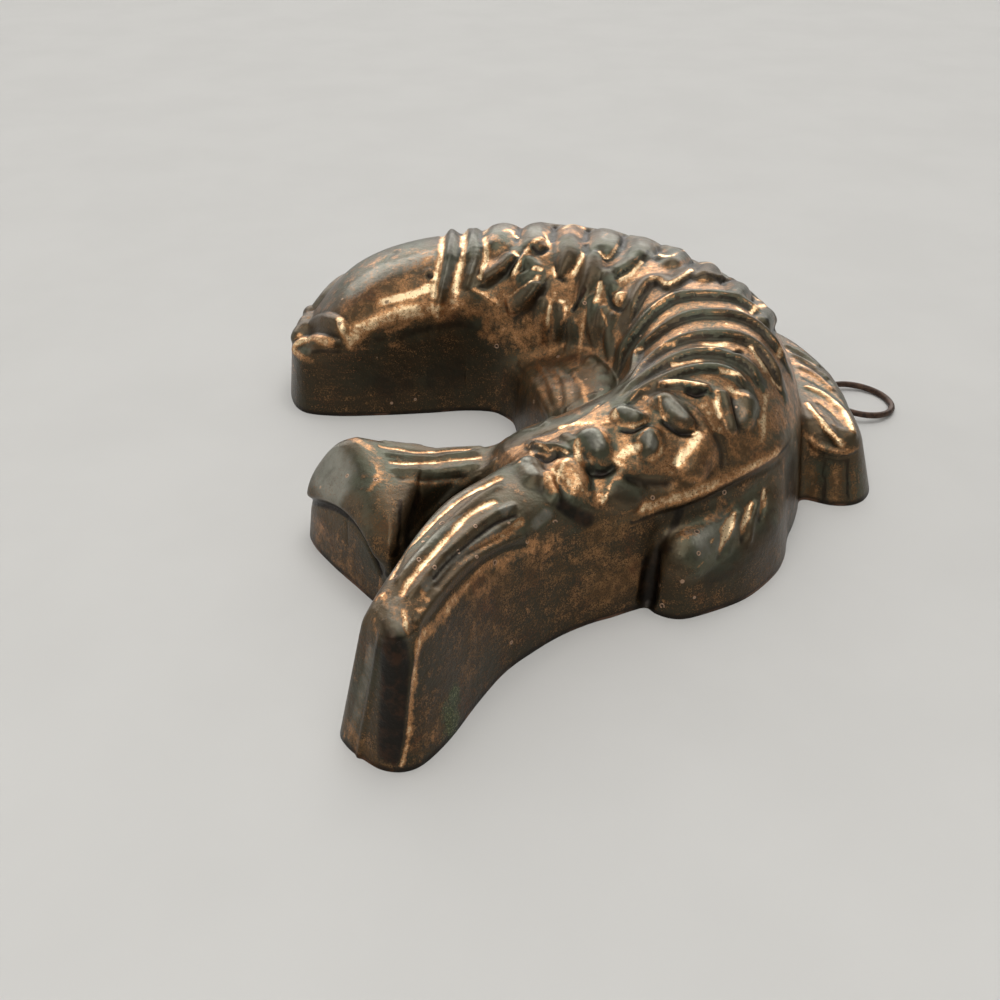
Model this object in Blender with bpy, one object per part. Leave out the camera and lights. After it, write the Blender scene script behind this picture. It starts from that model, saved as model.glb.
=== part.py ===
"""Pressed sheet-copper fish mould with a wire hanging ring.

The mould stands on its open rim at z = 0 with the relief upwards. It is one
curved shell: a domed trunk that bends round in a C, three fins on its sides
and a forked tail. A folded copper lug is soldered to the outer fin's wall,
and a round wire ring hinges in the lug's eye.

The layout below is drawn in millimetres from a datum outside the object; at
the end everything is moved so that the origin is the middle of the footprint.
"""
import bmesh
import bpy
import math
import numpy as np
from mathutils import Matrix, Vector

MM = 0.001

# --- driving dimensions, mm -------------------------------------------------
SHEET = 0.8            # copper sheet, with its tin lining
SKIRT = 1.0            # upright band at the rim
DRAFT_TRUNK = 0.12     # wall lean, mm in per mm up
DRAFT_TAIL_NEAR = 0.13
DRAFT_TAIL_NOTCH = 0.22  # the same lobe's side that faces the notch
DRAFT_TAIL_FAR = 0.14
DRAFT_SMALL_FIN = 0.14
DRAFT_RING_FIN = 0.30
DRAFT_RING_FIN_BACK = 0.15  # round its back, where the ring hangs
DRAFT_INNER_FIN = 0.13
RELIEF = 1.2           # mean height of the scales over the plain trunk
CELL = 1.5             # sampling cell of the shell's surface
KEEP = 0.075           # share of the sampled faces that stay

WIRE = 1.8             # ring wire diameter
RING_R = 9.7           # ring centreline radius
RING_DROP = 6.5        # degrees the ring slopes down to the table at rest
EYE_R = 1.5            # lug eye, inner radius
STRAP = 0.8            # lug strip thickness
LUG_WIDTH = 4.0
LUG_TALL = 9.5         # from the eye's centre to the lug's top
GAP = 0.3              # clearance between neighbouring pieces
LUG_AT = (92.15, 277.4)  # foot of the ring fin's wall at the lug (drawing, mm)
LUG_TURN = 15.0        # degrees, bearing of the wall's outward side there
SOLDER_WIDE = 1.6
SOLDER_TALL = 1.5

# --- footprint outlines at the rim, drawing mm ------------------------------
TRUNK = [(-57, 277), (-48, 274.3), (-34, 274.6), (-20, 276), (-10, 277.3), (-2, 276.5), (6, 272.5),
         (15, 268), (23, 260), (27, 250), (26, 241), (20, 233.5), (11, 229), (2, 224), (-3, 216),
         (-3, 208), (0, 199), (5, 191.5), (13, 187), (22, 187), (31, 189.4), (43, 194), (55, 201),
         (64.5, 208.5), (70.5, 217.5), (75.3, 229.9), (77.6, 243), (77.6, 258), (75, 273),
         (69, 287.5), (58.5, 301.5), (43, 313.5), (23, 321), (0, 324.5), (-20, 324), (-38, 321.5),
         (-51, 317), (-59, 309), (-62.3, 298), (-61.5, 286)]
TAIL_NEAR = [(34, 194), (26.4, 186.8), (19.8, 183.3), (13.5, 179.5), (7.2, 174.2), (1, 167.7),
             (-4.4, 158.9), (-9.3, 149.6), (-13.9, 143.2), (-17.6, 141.0), (-21.8, 141.4),
             (-25.4, 143.8), (-28.9, 147), (-30.9, 150.9), (-29.7, 157), (-26.5, 166), (-22.5, 177),
             (-17, 188), (-9, 198), (-1, 207), (12, 212), (28, 211)]
TAIL_FAR = [(20, 206), (2, 203), (-5, 206.5), (-11, 207.5), (-15.5, 204.5), (-17.5, 197.5),
            (-20, 189), (-24, 186.3), (-28, 190.5), (-32.5, 196), (-38.8, 203.7), (-44.2, 211.5),
            (-46.2, 217.4), (-44.5, 222), (-38, 225.3), (-28, 226), (-15, 225.5), (-2, 225),
            (8, 224), (20, 222)]
SMALL_FIN = [(31, 196), (32, 190.5), (34.2, 186.5), (39.3, 184.6), (46.3, 187), (54.6, 191.5),
             (61.3, 198), (65.7, 204.4), (68, 212), (66, 222), (56, 216), (44, 208)]
RING_FIN = [(64, 246), (70, 234.5), (78, 231.2), (83.1, 228.9), (88.1, 228.8), (92.4, 231.4),
            (95.2, 237), (96.3, 247), (96.0, 259), (94.2, 269), (91.4, 279.5), (86.9, 289.3),
            (79.3, 297), (69.4, 302.8), (58, 304.4), (58, 280)]
INNER_FIN = [(1, 278), (3.8, 270), (5.2, 262), (8, 250), (10.5, 240), (12.5, 230), (20, 226),
             (32, 238), (32, 255), (24, 270), (10, 283)]

# --- crest lines: x, y, height of the shoulder, height of the crest ---------
TRUNK_CREST = [(-55, 298, 16.5, 20.5), (-46, 298.5, 19.5, 30.3), (-36, 299.3, 22, 36.8),
               (-23, 300.2, 24, 40.8), (-8, 301, 26.5, 42.5), (6, 300.5, 27, 43.8),
               (20, 297, 26, 44.2), (35, 288.5, 25, 44), (47, 274, 24.5, 44), (52, 255, 24, 44),
               (49.5, 236, 23, 43), (41, 221, 22.5, 41.5), (29, 210.5, 22.5, 38.5),
               (17, 204, 24, 34.5), (8, 199, 26, 31.5)]
TAIL_CREST = [(30, 206, 25, 31), (16, 203, 27, 32), (5, 195, 29.5, 32.3), (-3.5, 183, 31, 33.2),
              (-10, 170.5, 30.5, 33), (-15.8, 159, 29.5, 32), (-20.5, 148, 28.5, 30),
              (-23, 142.5, 28, 29)]
FAR_TOP_X = [-46, -38, -33, -26, -15, -4, 8, 20]
FAR_TOP_Z = [23.7, 25.7, 26.0, 23.7, 21.6, 22.5, 26, 29]


# --- curves and distances ---------------------------------------------------
def smooth_curve(points, steps, closed):
    """Catmull-Rom curve through the points."""
    p = np.asarray(points, float)
    m = len(p)
    out = []
    for i in range(m if closed else m - 1):
        if closed:
            a, b, c, d = p[(i - 1) % m], p[i], p[(i + 1) % m], p[(i + 2) % m]
        else:
            a, b, c, d = p[max(i - 1, 0)], p[i], p[i + 1], p[min(i + 2, m - 1)]
        for j in range(steps):
            t = j / steps
            out.append(0.5 * (2 * b + (c - a) * t + (2 * a - 5 * b + 4 * c - d) * t * t
                              + (3 * b - a - 3 * c + d) * t ** 3))
    if not closed:
        out.append(p[-1])
    return np.array(out)


def inset_map(outline, X, Y):
    """Distance to a closed outline, positive inside it."""
    poly = smooth_curve(outline, 8, True)
    best = np.full(X.shape, 1e9)
    inside = np.zeros(X.shape, bool)
    for (ax, ay), (bx, by) in zip(poly, np.roll(poly, -1, axis=0)):
        ex, ey = bx - ax, by - ay
        t = np.clip(((X - ax) * ex + (Y - ay) * ey) / (ex * ex + ey * ey), 0, 1)
        best = np.minimum(best, (X - ax - t * ex) ** 2 + (Y - ay - t * ey) ** 2)
        if ay != by:
            inside ^= ((ay > Y) != (by > Y)) & (X < ax + (Y - ay) * ex / (by - ay))
    d = np.sqrt(best)
    return np.where(inside, d, -d)


def crest_map(crest, X, Y):
    """Distance to the crest line (negative left of it), place along it, shoulder and crest heights."""
    line = smooth_curve(crest, 10, False)
    best = np.full(X.shape, 1e9)
    along = np.zeros(X.shape)
    left = np.zeros(X.shape, bool)
    run = np.concatenate([[0], np.cumsum(np.hypot(*np.diff(line[:, :2], axis=0).T))])
    for i in range(len(line) - 1):
        ax, ay = line[i, :2]
        ex, ey = line[i + 1, 0] - ax, line[i + 1, 1] - ay
        t = np.clip(((X - ax) * ex + (Y - ay) * ey) / (ex * ex + ey * ey), 0, 1)
        d2 = (X - ax - t * ex) ** 2 + (Y - ay - t * ey) ** 2
        near = d2 < best
        best = np.where(near, d2, best)
        along = np.where(near, run[i] + t * (run[i + 1] - run[i]), along)
        left = np.where(near, (Y - ay) * ex - (X - ax) * ey > 0, left)
    away = np.sqrt(best)
    return (np.where(left, -away, away), along / run[-1],
            np.interp(along, run, line[:, 2]), np.interp(along, run, line[:, 3]))


def soft_min(a, b, k):
    h = np.maximum(k - np.abs(a - b), 0) / k
    return np.minimum(a, b) - h * h * k / 4


def soft_max(a, b, k):
    return -soft_min(-a, -b, k)


def dome(crest, inset, draft, bulge, lower=(0, 0, 0)):
    """Top surface that rises from the shoulder to the crest line."""
    away, along, shoulder, peak = crest_map(crest, *GRID)
    left = np.clip(-away / 5, 0, 1)                  # 1 well left of the crest line
    shoulder = shoulder - left * np.interp(along, [0, 0.5, 1], lower)
    away = np.abs(away)
    rim = np.maximum(inset - shoulder * draft, 0)
    u = away / (away + rim + 1e-6)
    power = np.interp(along, [0, 0.3, 0.55, 0.8, 1], bulge)
    return shoulder + (peak - shoulder) * np.maximum(1 - u ** 2.2, 0) ** power, along


# --- the solid inside the shell's outer face, as a field over x, y, z --------
xs = np.arange(-68, 104, CELL)
ys = np.arange(134, 334, CELL)
zs = np.arange(-2.0 * CELL, 52, CELL)
GRID = np.meshgrid(xs, ys)
X, Y = GRID

trunk = inset_map(TRUNK, X, Y)
trunk_top, along = dome(TRUNK_CREST, trunk, DRAFT_TRUNK, [0.5, 0.5, 0.6, 0.75, 0.8])
trunk_top = trunk_top + RELIEF * np.clip((along - 0.22) / 0.04, 0, 1) * np.clip((0.97 - along) / 0.04, 0, 1)
near = inset_map(TAIL_NEAR, X, Y)
near_left = np.clip(0.5 - crest_map(TAIL_CREST, X, Y)[0] / 8, 0, 1)
near_draft = DRAFT_TAIL_NOTCH + (DRAFT_TAIL_NEAR - DRAFT_TAIL_NOTCH) * near_left
near_top, _ = dome(TAIL_CREST, near, near_draft, [0.5] * 5, (3, 5, 1.5))
far = inset_map(TAIL_FAR, X, Y)
far_top = np.interp(X, FAR_TOP_X, FAR_TOP_Z) - 0.012 * (Y - 217) ** 2 * np.where(X < -18, 0.25, 1.0)
end_in = 0.83 * (X + 38.6) + 0.555 * (Y - 203.7)      # inwards from the far lobe's end
far_top = soft_min(far_top, 11 + 1.9 * np.maximum(end_in - 0.2, 0), 4.0)
small = inset_map(SMALL_FIN, X, Y)
small_top = np.clip(13.5 + 0.36 * (-0.35 * (X - 46) + 0.94 * (Y - 186)), 8, 21.5)
ring_fin = inset_map(RING_FIN, X, Y)
ring_fin_top = np.clip(19.5 - 0.2 * (X - 76), 10, 20)
ring_fin_draft = np.interp(Y, [254, 270], [DRAFT_RING_FIN, DRAFT_RING_FIN_BACK])
inner = inset_map(INNER_FIN, X, Y)
inner_top = np.clip(17.5 + 0.45 * (X - 6), 10, 26)

PARTS = [  # inset, draft, top, edge rounding, blend into the rest
    (trunk, DRAFT_TRUNK, trunk_top, 1.6, 1.0),
    (near, near_draft, near_top, 1.6, 4.0),
    (far, DRAFT_TAIL_FAR, far_top, 3.0, 4.0),
    (small, DRAFT_SMALL_FIN, small_top, 6.0, 2.5),
    (ring_fin, ring_fin_draft, ring_fin_top, 3.5, 2.5),
    (inner, DRAFT_INNER_FIN, inner_top, 4.0, 3.5),
]
layers = []
steep = []
for inset, draft, top, edge, blend in PARTS:
    gy, gx = np.gradient(top, CELL)
    steep.append(1 / np.sqrt(1 + np.minimum(gx * gx + gy * gy, 4)))
for z in zs:
    level = None
    for (inset, draft, top, edge, blend), lean in zip(PARTS, steep):
        piece = soft_min(inset - z * draft, (top - z) * lean, edge)
        level = piece if level is None else soft_max(level, piece, blend)
    layers.append(level)
FIELD = np.array(layers)


def skin(field, x0, y0, z0, cell):
    """Quads of the surface where the field is zero, one vertex in each crossed cell."""
    inside = field > 0
    nz, ny, nx = field.shape
    count = np.zeros((nz - 1, ny - 1, nx - 1), int)
    corners = [(a, b, c) for a in (0, 1) for b in (0, 1) for c in (0, 1)]
    for a, b, c in corners:
        count += inside[a:nz - 1 + a, b:ny - 1 + b, c:nx - 1 + c]
    iz, iy, ix = np.nonzero((count > 0) & (count < 8))
    number = np.full(count.shape, -1)
    number[iz, iy, ix] = np.arange(len(iz))
    total = np.zeros((len(iz), 3))
    hits = np.zeros(len(iz))
    for a in corners:
        for axis in range(3):
            if a[axis]:
                continue
            b = list(a)
            b[axis] = 1
            fa = field[iz + a[0], iy + a[1], ix + a[2]]
            fb = field[iz + b[0], iy + b[1], ix + b[2]]
            cross = (fa > 0) != (fb > 0)
            t = np.where(cross, fa / np.where(cross, fa - fb, 1), 0)
            at = np.stack([a[2] + (b[2] - a[2]) * t, a[1] + (b[1] - a[1]) * t,
                           a[0] + (b[0] - a[0]) * t], 1)
            total += np.where(cross[:, None], at, 0)
            hits += cross
    total /= hits[:, None]
    verts = np.stack([x0 + (ix + total[:, 0]) * cell, y0 + (iy + total[:, 1]) * cell,
                      z0 + (iz + total[:, 2]) * cell], 1)
    quads = []
    for axis in range(3):
        low = [slice(None)] * 3
        high = [slice(None)] * 3
        low[axis] = slice(0, -1)
        high[axis] = slice(1, None)
        first = inside[tuple(low)]
        at = list(np.nonzero(first != inside[tuple(high)]))
        others = [k for k in range(3) if k != axis]
        ok = np.ones(len(at[0]), bool)
        for k in others:
            ok &= (at[k] > 0) & (at[k] < field.shape[k] - 1)
        at = [e[ok] for e in at]
        was_in = first[at[0], at[1], at[2]]
        ring = []
        for d0, d1 in ((0, 0), (1, 0), (1, 1), (0, 1)):
            cellno = [e.copy() for e in at]
            cellno[others[0]] -= d0
            cellno[others[1]] -= d1
            ring.append(number[cellno[0], cellno[1], cellno[2]])
        ring = np.stack(ring, 1)
        flip = ~was_in if axis != 1 else was_in
        quads.append(np.where(flip[:, None], ring, ring[:, ::-1]))
    return verts, np.concatenate(quads)


# --- scene helpers ----------------------------------------------------------
for old in list(bpy.data.objects):
    bpy.data.objects.remove(old, do_unlink=True)


def material(name, colour, roughness, metallic):
    m = bpy.data.materials.new(name)
    m.use_nodes = True
    shader = m.node_tree.nodes["Principled BSDF"]
    shader.inputs["Base Color"].default_value = (*colour, 1)
    shader.inputs["Roughness"].default_value = roughness
    shader.inputs["Metallic"].default_value = metallic
    return m


def add_object(name, mesh, mat, parent=None):
    ob = bpy.data.objects.new(name, mesh)
    bpy.context.scene.collection.objects.link(ob)
    mesh.materials.clear()
    mesh.materials.append(mat)
    if parent is not None:
        ob.parent = parent
    return ob


COPPER = material("patinated_copper", (0.18, 0.105, 0.062), 0.42, 0.85)
LUG_COPPER = material("lug_copper", (0.20, 0.11, 0.07), 0.45, 0.85)
WIRE_METAL = material("ring_wire", (0.11, 0.065, 0.045), 0.5, 0.8)
SOLDER = material("soft_solder", (0.26, 0.25, 0.235), 0.55, 0.7)

# --- mould_shell ------------------------------------------------------------
points, faces = skin(FIELD, xs[0], ys[0], zs[0], CELL)
raw = bpy.data.meshes.new("shell_raw")
raw.from_pydata([tuple(p) for p in points], [], [tuple(int(i) for i in f) for f in faces])
bm = bmesh.new()
bm.from_mesh(raw)
bmesh.ops.bisect_plane(bm, geom=bm.verts[:] + bm.edges[:] + bm.faces[:], dist=1e-4,
                       plane_co=(0, 0, SKIRT), plane_no=(0, 0, 1), clear_inner=True)
# a floor across the opening keeps the rim's edge crisp while the mesh is thinned
bmesh.ops.triangle_fill(bm, edges=[e for e in bm.edges if e.is_boundary], use_beauty=True)
bmesh.ops.triangulate(bm, faces=bm.faces[:])
bmesh.ops.recalc_face_normals(bm, faces=bm.faces[:])
bm.to_mesh(raw)
bm.free()
raw_ob = bpy.data.objects.new("shell_raw", raw)
bpy.context.scene.collection.objects.link(raw_ob)
thin = raw_ob.modifiers.new("thin", "DECIMATE")
thin.ratio = KEEP
bpy.context.view_layer.update()
light = bpy.data.meshes.new_from_object(raw_ob.evaluated_get(bpy.context.evaluated_depsgraph_get()))
bpy.data.objects.remove(raw_ob, do_unlink=True)

bm = bmesh.new()
bm.from_mesh(light)
bm.normal_update()
floor_faces = [f for f in bm.faces if max(v.co.z for v in f.verts) < SKIRT + 0.25
               and abs(f.normal.z) > 0.9]
bmesh.ops.delete(bm, geom=floor_faces, context="FACES")
rim = [e for e in bm.edges if e.is_boundary]
for v in {v for e in rim for v in e.verts}:
    v.co.z = SKIRT
band = bmesh.ops.extrude_edge_only(bm, edges=rim)
for v in band["geom"]:
    if isinstance(v, bmesh.types.BMVert):
        v.co.z = 0.0
bmesh.ops.recalc_face_normals(bm, faces=bm.faces[:])
highest = max(bm.faces, key=lambda f: f.calc_center_median().z)
if highest.normal.z < 0:
    bmesh.ops.reverse_faces(bm, faces=bm.faces[:])
shell_mesh = bpy.data.meshes.new("mould_shell")
bm.transform(Matrix.Scale(MM, 4))
bm.to_mesh(shell_mesh)
bm.free()
shell = add_object("mould_shell", shell_mesh, COPPER)
shell_mesh.shade_smooth()
shell_mesh.set_sharp_from_angle(angle=math.radians(40))
wall = shell.modifiers.new("sheet", "SOLIDIFY")
wall.thickness = SHEET * MM
wall.offset = -1
wall.use_even_offset = True
wall.use_rim = True

# --- the lug's own axes: out from the wall, along the wall, up the wall ------
turn = math.radians(LUG_TURN)
level_out = Vector((math.cos(turn), math.sin(turn), 0))
along_wall = Vector((-math.sin(turn), math.cos(turn), 0))
lean = math.atan(DRAFT_RING_FIN_BACK)
out = (level_out * math.cos(lean) + Vector((0, 0, math.sin(lean)))).normalized()
up = along_wall.cross(out) * -1
if up.z < 0:
    up = -up
eye_off = GAP + STRAP + EYE_R                     # eye's centre from the wall
foot = Vector((LUG_AT[0], LUG_AT[1], 0))
ring_low = WIRE / 2 + 2 * RING_R * math.sin(math.radians(RING_DROP))
# the eye's height lets the ring's far side lie on the table
climb = (ring_low - eye_off * out.z) / up.z
eye = foot + up * climb + out * eye_off

pivot = bpy.data.objects.new("ring_pivot", None)
bpy.context.scene.collection.objects.link(pivot)
pivot.location = eye * MM


def frame_matrix(origin, ax, ay, az):
    m = Matrix.Identity(4)
    for i in range(3):
        m[i][0], m[i][1], m[i][2], m[i][3] = ax[i], ay[i], az[i], origin[i]
    return m


# --- ring_lug: a strip folded round the wire, its two layers soldered flat ---
bm = bmesh.new()
outer_r = EYE_R + STRAP
back = -outer_r
front = back + 2 * STRAP
meet = math.atan2(math.sqrt(outer_r ** 2 - front ** 2), front)
ARC = 18
profile = [(back, LUG_TALL), (back, 0.0)]
for i in range(1, ARC + 1):
    a = math.pi + (2 * math.pi - (math.pi - meet)) * i / ARC
    profile.append((outer_r * math.cos(a), outer_r * math.sin(a)))
profile.append((front, LUG_TALL))
HOLE = 16
hole = [(EYE_R * math.cos(2 * math.pi * (i + 0.5) / HOLE), EYE_R * math.sin(2 * math.pi * (i + 0.5) / HOLE))
        for i in range(HOLE)]
outer_loop = [bm.verts.new((x, -LUG_WIDTH / 2, z)) for x, z in profile]
hole_loop = [bm.verts.new((x, -LUG_WIDTH / 2, z)) for x, z in hole]
edges = [bm.edges.new((loop[i], loop[(i + 1) % len(loop)])) for loop in (outer_loop, hole_loop)
         for i in range(len(loop))]
side = bmesh.ops.triangle_fill(bm, edges=edges, use_beauty=True)
side_faces = [g for g in side["geom"] if isinstance(g, bmesh.types.BMFace)]
grown = bmesh.ops.extrude_face_region(bm, geom=side_faces)
bmesh.ops.translate(bm, vec=(0, LUG_WIDTH, 0),
                    verts=[g for g in grown["geom"] if isinstance(g, bmesh.types.BMVert)])
bmesh.ops.recalc_face_normals(bm, faces=bm.faces[:])
bm.transform(Matrix.Scale(MM, 4))
lug_mesh = bpy.data.meshes.new("ring_lug")
bm.to_mesh(lug_mesh)
bm.free()
lug = add_object("ring_lug", lug_mesh, LUG_COPPER)
lug.matrix_world = frame_matrix(eye * MM, out, along_wall, up)
lug_mesh.shade_smooth()
lug_mesh.set_sharp_from_angle(angle=math.radians(35))

# --- lug_solder: the fillet of solder round the lug's sides and top ----------
bm = bmesh.new()
half = LUG_WIDTH / 2 + GAP
head = LUG_TALL + GAP
stations = [((half, 3.2), 0.0), ((half, head - 1.5), 0.0)]
stations += [((half, head), math.radians(90 * i / 4)) for i in range(5)]
stations += [((-half, head), math.radians(90 + 90 * i / 4)) for i in range(5)]
stations += [((-half, head - 1.5), math.pi), ((-half, 3.2), math.pi)]
section = [(0.0, 0.0), (1.0, 0.0), (0.72, 0.45), (0.3, 0.9), (0.0, 1.0)]   # spread, height
loops = []
for (w, u), a in stations:
    loops.append([bm.verts.new((back + SOLDER_TALL * tall, w + SOLDER_WIDE * spread * math.cos(a),
                                u + SOLDER_WIDE * spread * math.sin(a))) for spread, tall in section])
for a, b in zip(loops, loops[1:]):
    for i in range(len(section)):
        j = (i + 1) % len(section)
        bm.faces.new((a[i], a[j], b[j], b[i]))
bm.faces.new(loops[0])
bm.faces.new(loops[-1])
bmesh.ops.remove_doubles(bm, verts=bm.verts[:], dist=0.001)
bmesh.ops.dissolve_degenerate(bm, edges=bm.edges[:], dist=0.001)
bmesh.ops.recalc_face_normals(bm, faces=bm.faces[:])
bm.transform(Matrix.Scale(MM, 4))
solder_mesh = bpy.data.meshes.new("lug_solder")
bm.to_mesh(solder_mesh)
bm.free()
solder = add_object("lug_solder", solder_mesh, SOLDER)
solder.matrix_world = frame_matrix(eye * MM, out, along_wall, up)
solder_mesh.shade_smooth()
solder_mesh.set_sharp_from_angle(angle=math.radians(35))

# --- hanging_ring: a wire ring whose centreline passes through the eye ------
bpy.ops.mesh.primitive_torus_add(major_radius=RING_R * MM, minor_radius=WIRE / 2 * MM,
                                 major_segments=40, minor_segments=10)
made = bpy.context.object
ring_mesh = made.data
bpy.data.objects.remove(made, do_unlink=True)
ring_mesh.transform(Matrix.Translation((RING_R * MM, 0, 0)))
ring = add_object("hanging_ring", ring_mesh, WIRE_METAL, parent=pivot)
pivot.rotation_euler = (0, math.radians(RING_DROP), turn)
ring_mesh.shade_smooth()

# --- move the origin to the middle of the footprint --------------------------
bpy.context.view_layer.update()
deps = bpy.context.evaluated_depsgraph_get()
low, high = Vector((9, 9, 9)), Vector((-9, -9, -9))
for ob in bpy.data.objects:
    if ob.type != "MESH":
        continue
    shape = ob.evaluated_get(deps)
    for v in shape.data.vertices:
        p = shape.matrix_world @ v.co
        low = Vector(map(min, low, p))
        high = Vector(map(max, high, p))
shift = Vector((-(low.x + high.x) / 2, -(low.y + high.y) / 2, 0))
shell_mesh.transform(Matrix.Translation(shift))
lug.matrix_world = Matrix.Translation(shift) @ lug.matrix_world
solder.matrix_world = Matrix.Translation(shift) @ solder.matrix_world
pivot.location = pivot.location + shift
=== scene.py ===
"""Looks of the pressed copper fish mould with its hanging ring.

The shell is rebuilt as a fine mesh: the same outlines and crest lines as the
plain shell, then the relief of the fish (lips, gill hoops, scales, ribs and
fin rays) is pressed into it along lines drawn over the camera's frame.
Lengths are in millimetres until the meshes are made.
"""
import math

import bmesh
import bpy
import numpy as np
from mathutils import Matrix, Vector


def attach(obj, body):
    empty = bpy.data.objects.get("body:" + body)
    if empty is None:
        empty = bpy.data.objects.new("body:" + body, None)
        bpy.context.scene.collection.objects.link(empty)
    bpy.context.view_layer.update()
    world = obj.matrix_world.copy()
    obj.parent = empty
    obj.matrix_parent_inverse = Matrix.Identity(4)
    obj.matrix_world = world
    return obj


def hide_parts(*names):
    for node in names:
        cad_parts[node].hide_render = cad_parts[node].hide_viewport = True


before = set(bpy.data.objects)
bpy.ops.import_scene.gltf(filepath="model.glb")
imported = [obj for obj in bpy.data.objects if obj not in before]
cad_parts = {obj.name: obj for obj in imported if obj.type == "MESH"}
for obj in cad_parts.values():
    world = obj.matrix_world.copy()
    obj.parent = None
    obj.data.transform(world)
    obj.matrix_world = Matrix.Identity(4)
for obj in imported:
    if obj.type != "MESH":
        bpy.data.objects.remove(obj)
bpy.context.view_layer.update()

MM = 0.001
SHIFT = np.array([-25.90489, -232.78169, 0.0])      # drawing frame to the object's own frame
CELL = 0.5
SHEET = 0.8

# --- the camera, in the drawing frame ----------------------------------------
PITCH = math.radians(34)
CAM_Z = 156.0
FOCAL = 1100.0                                      # in pixels of a 1000 x 1000 frame
AHEAD = np.array([0, math.cos(PITCH), -math.sin(PITCH)])
ABOVE = np.array([0, math.sin(PITCH), math.cos(PITCH)])
EYE = np.array([0, 0, CAM_Z])

# --- outlines at the rim and crest lines --------------------------------------
TRUNK = [(-57, 277), (-48, 274.3), (-34, 274.6), (-20, 276), (-10, 277.3), (-2, 276.5), (6, 272.5),
         (15, 268), (23, 260), (27, 250), (26, 241), (20, 233.5), (11, 229), (2, 224), (-3, 216),
         (-3, 208), (0, 199), (5, 191.5), (13, 187), (22, 187), (31, 189.4), (43, 194), (55, 201),
         (64.5, 208.5), (70.5, 217.5), (75.3, 229.9), (77.6, 243), (77.6, 258), (75, 273),
         (69, 287.5), (58.5, 301.5), (43, 313.5), (23, 321), (0, 324.5), (-20, 324), (-38, 321.5),
         (-51, 317), (-59, 309), (-62.3, 298), (-61.5, 286)]
TAIL_NEAR = [(34, 194), (26.4, 186.8), (19.8, 183.3), (13.5, 179.5), (7.2, 174.2), (1, 167.7),
             (-4.4, 158.9), (-9.3, 149.6), (-13.9, 143.2), (-17.6, 141.0), (-21.8, 141.4),
             (-25.4, 143.8), (-28.9, 147), (-30.9, 150.9), (-29.7, 157), (-26.5, 166), (-22.5, 177),
             (-17, 188), (-9, 198), (-1, 207), (12, 212), (28, 211)]
TAIL_FAR = [(20, 206), (2, 203), (-5, 206.5), (-11, 207.5), (-15.5, 204.5), (-17.5, 197.5),
            (-20, 189), (-24, 186.3), (-28, 190.5), (-32.5, 196), (-38.8, 203.7), (-44.2, 211.5),
            (-46.2, 217.4), (-44.5, 222), (-38, 225.3), (-28, 226), (-15, 225.5), (-2, 225),
            (8, 224), (20, 222)]
SMALL_FIN = [(31, 196), (32, 190.5), (34.2, 186.5), (39.3, 184.6), (46.3, 187), (54.6, 191.5),
             (61.3, 198), (65.7, 204.4), (68, 212), (66, 222), (56, 216), (44, 208)]
RING_FIN = [(64, 246), (70, 234.5), (78, 231.2), (83.1, 228.9), (88.1, 228.8), (92.4, 231.4),
            (95.2, 237), (96.3, 247), (96.0, 259), (94.2, 269), (91.4, 279.5), (86.9, 289.3),
            (79.3, 297), (69.4, 302.8), (58, 304.4), (58, 280)]
INNER_FIN = [(1, 278), (3.8, 270), (5.2, 262), (8, 250), (10.5, 240), (12.5, 230), (20, 226),
             (32, 238), (32, 255), (24, 270), (10, 283)]
TRUNK_CREST = [(-55, 298, 16.5, 20.5), (-46, 298.5, 19.5, 30.3), (-36, 299.3, 22, 36.8),
               (-23, 300.2, 24, 40.8), (-8, 301, 26.5, 42.5), (6, 300.5, 27, 43.8),
               (20, 297, 26, 44.2), (35, 288.5, 25, 44), (47, 274, 24.5, 44), (52, 255, 24, 44),
               (49.5, 236, 23, 43), (41, 221, 22.5, 41.5), (29, 210.5, 22.5, 38.5),
               (17, 204, 24, 34.5), (8, 199, 26, 31.5)]
TAIL_CREST = [(30, 206, 25, 31), (16, 203, 27, 32), (5, 195, 29.5, 32.3), (-3.5, 183, 31, 33.2),
              (-10, 170.5, 30.5, 33), (-15.8, 159, 29.5, 32), (-20.5, 148, 28.5, 30),
              (-23, 142.5, 28, 29)]
FAR_TOP_X = [-46, -38, -33, -26, -15, -4, 8, 20]
FAR_TOP_Z = [23.7, 25.7, 26.0, 23.7, 21.6, 22.5, 26, 29]

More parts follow.
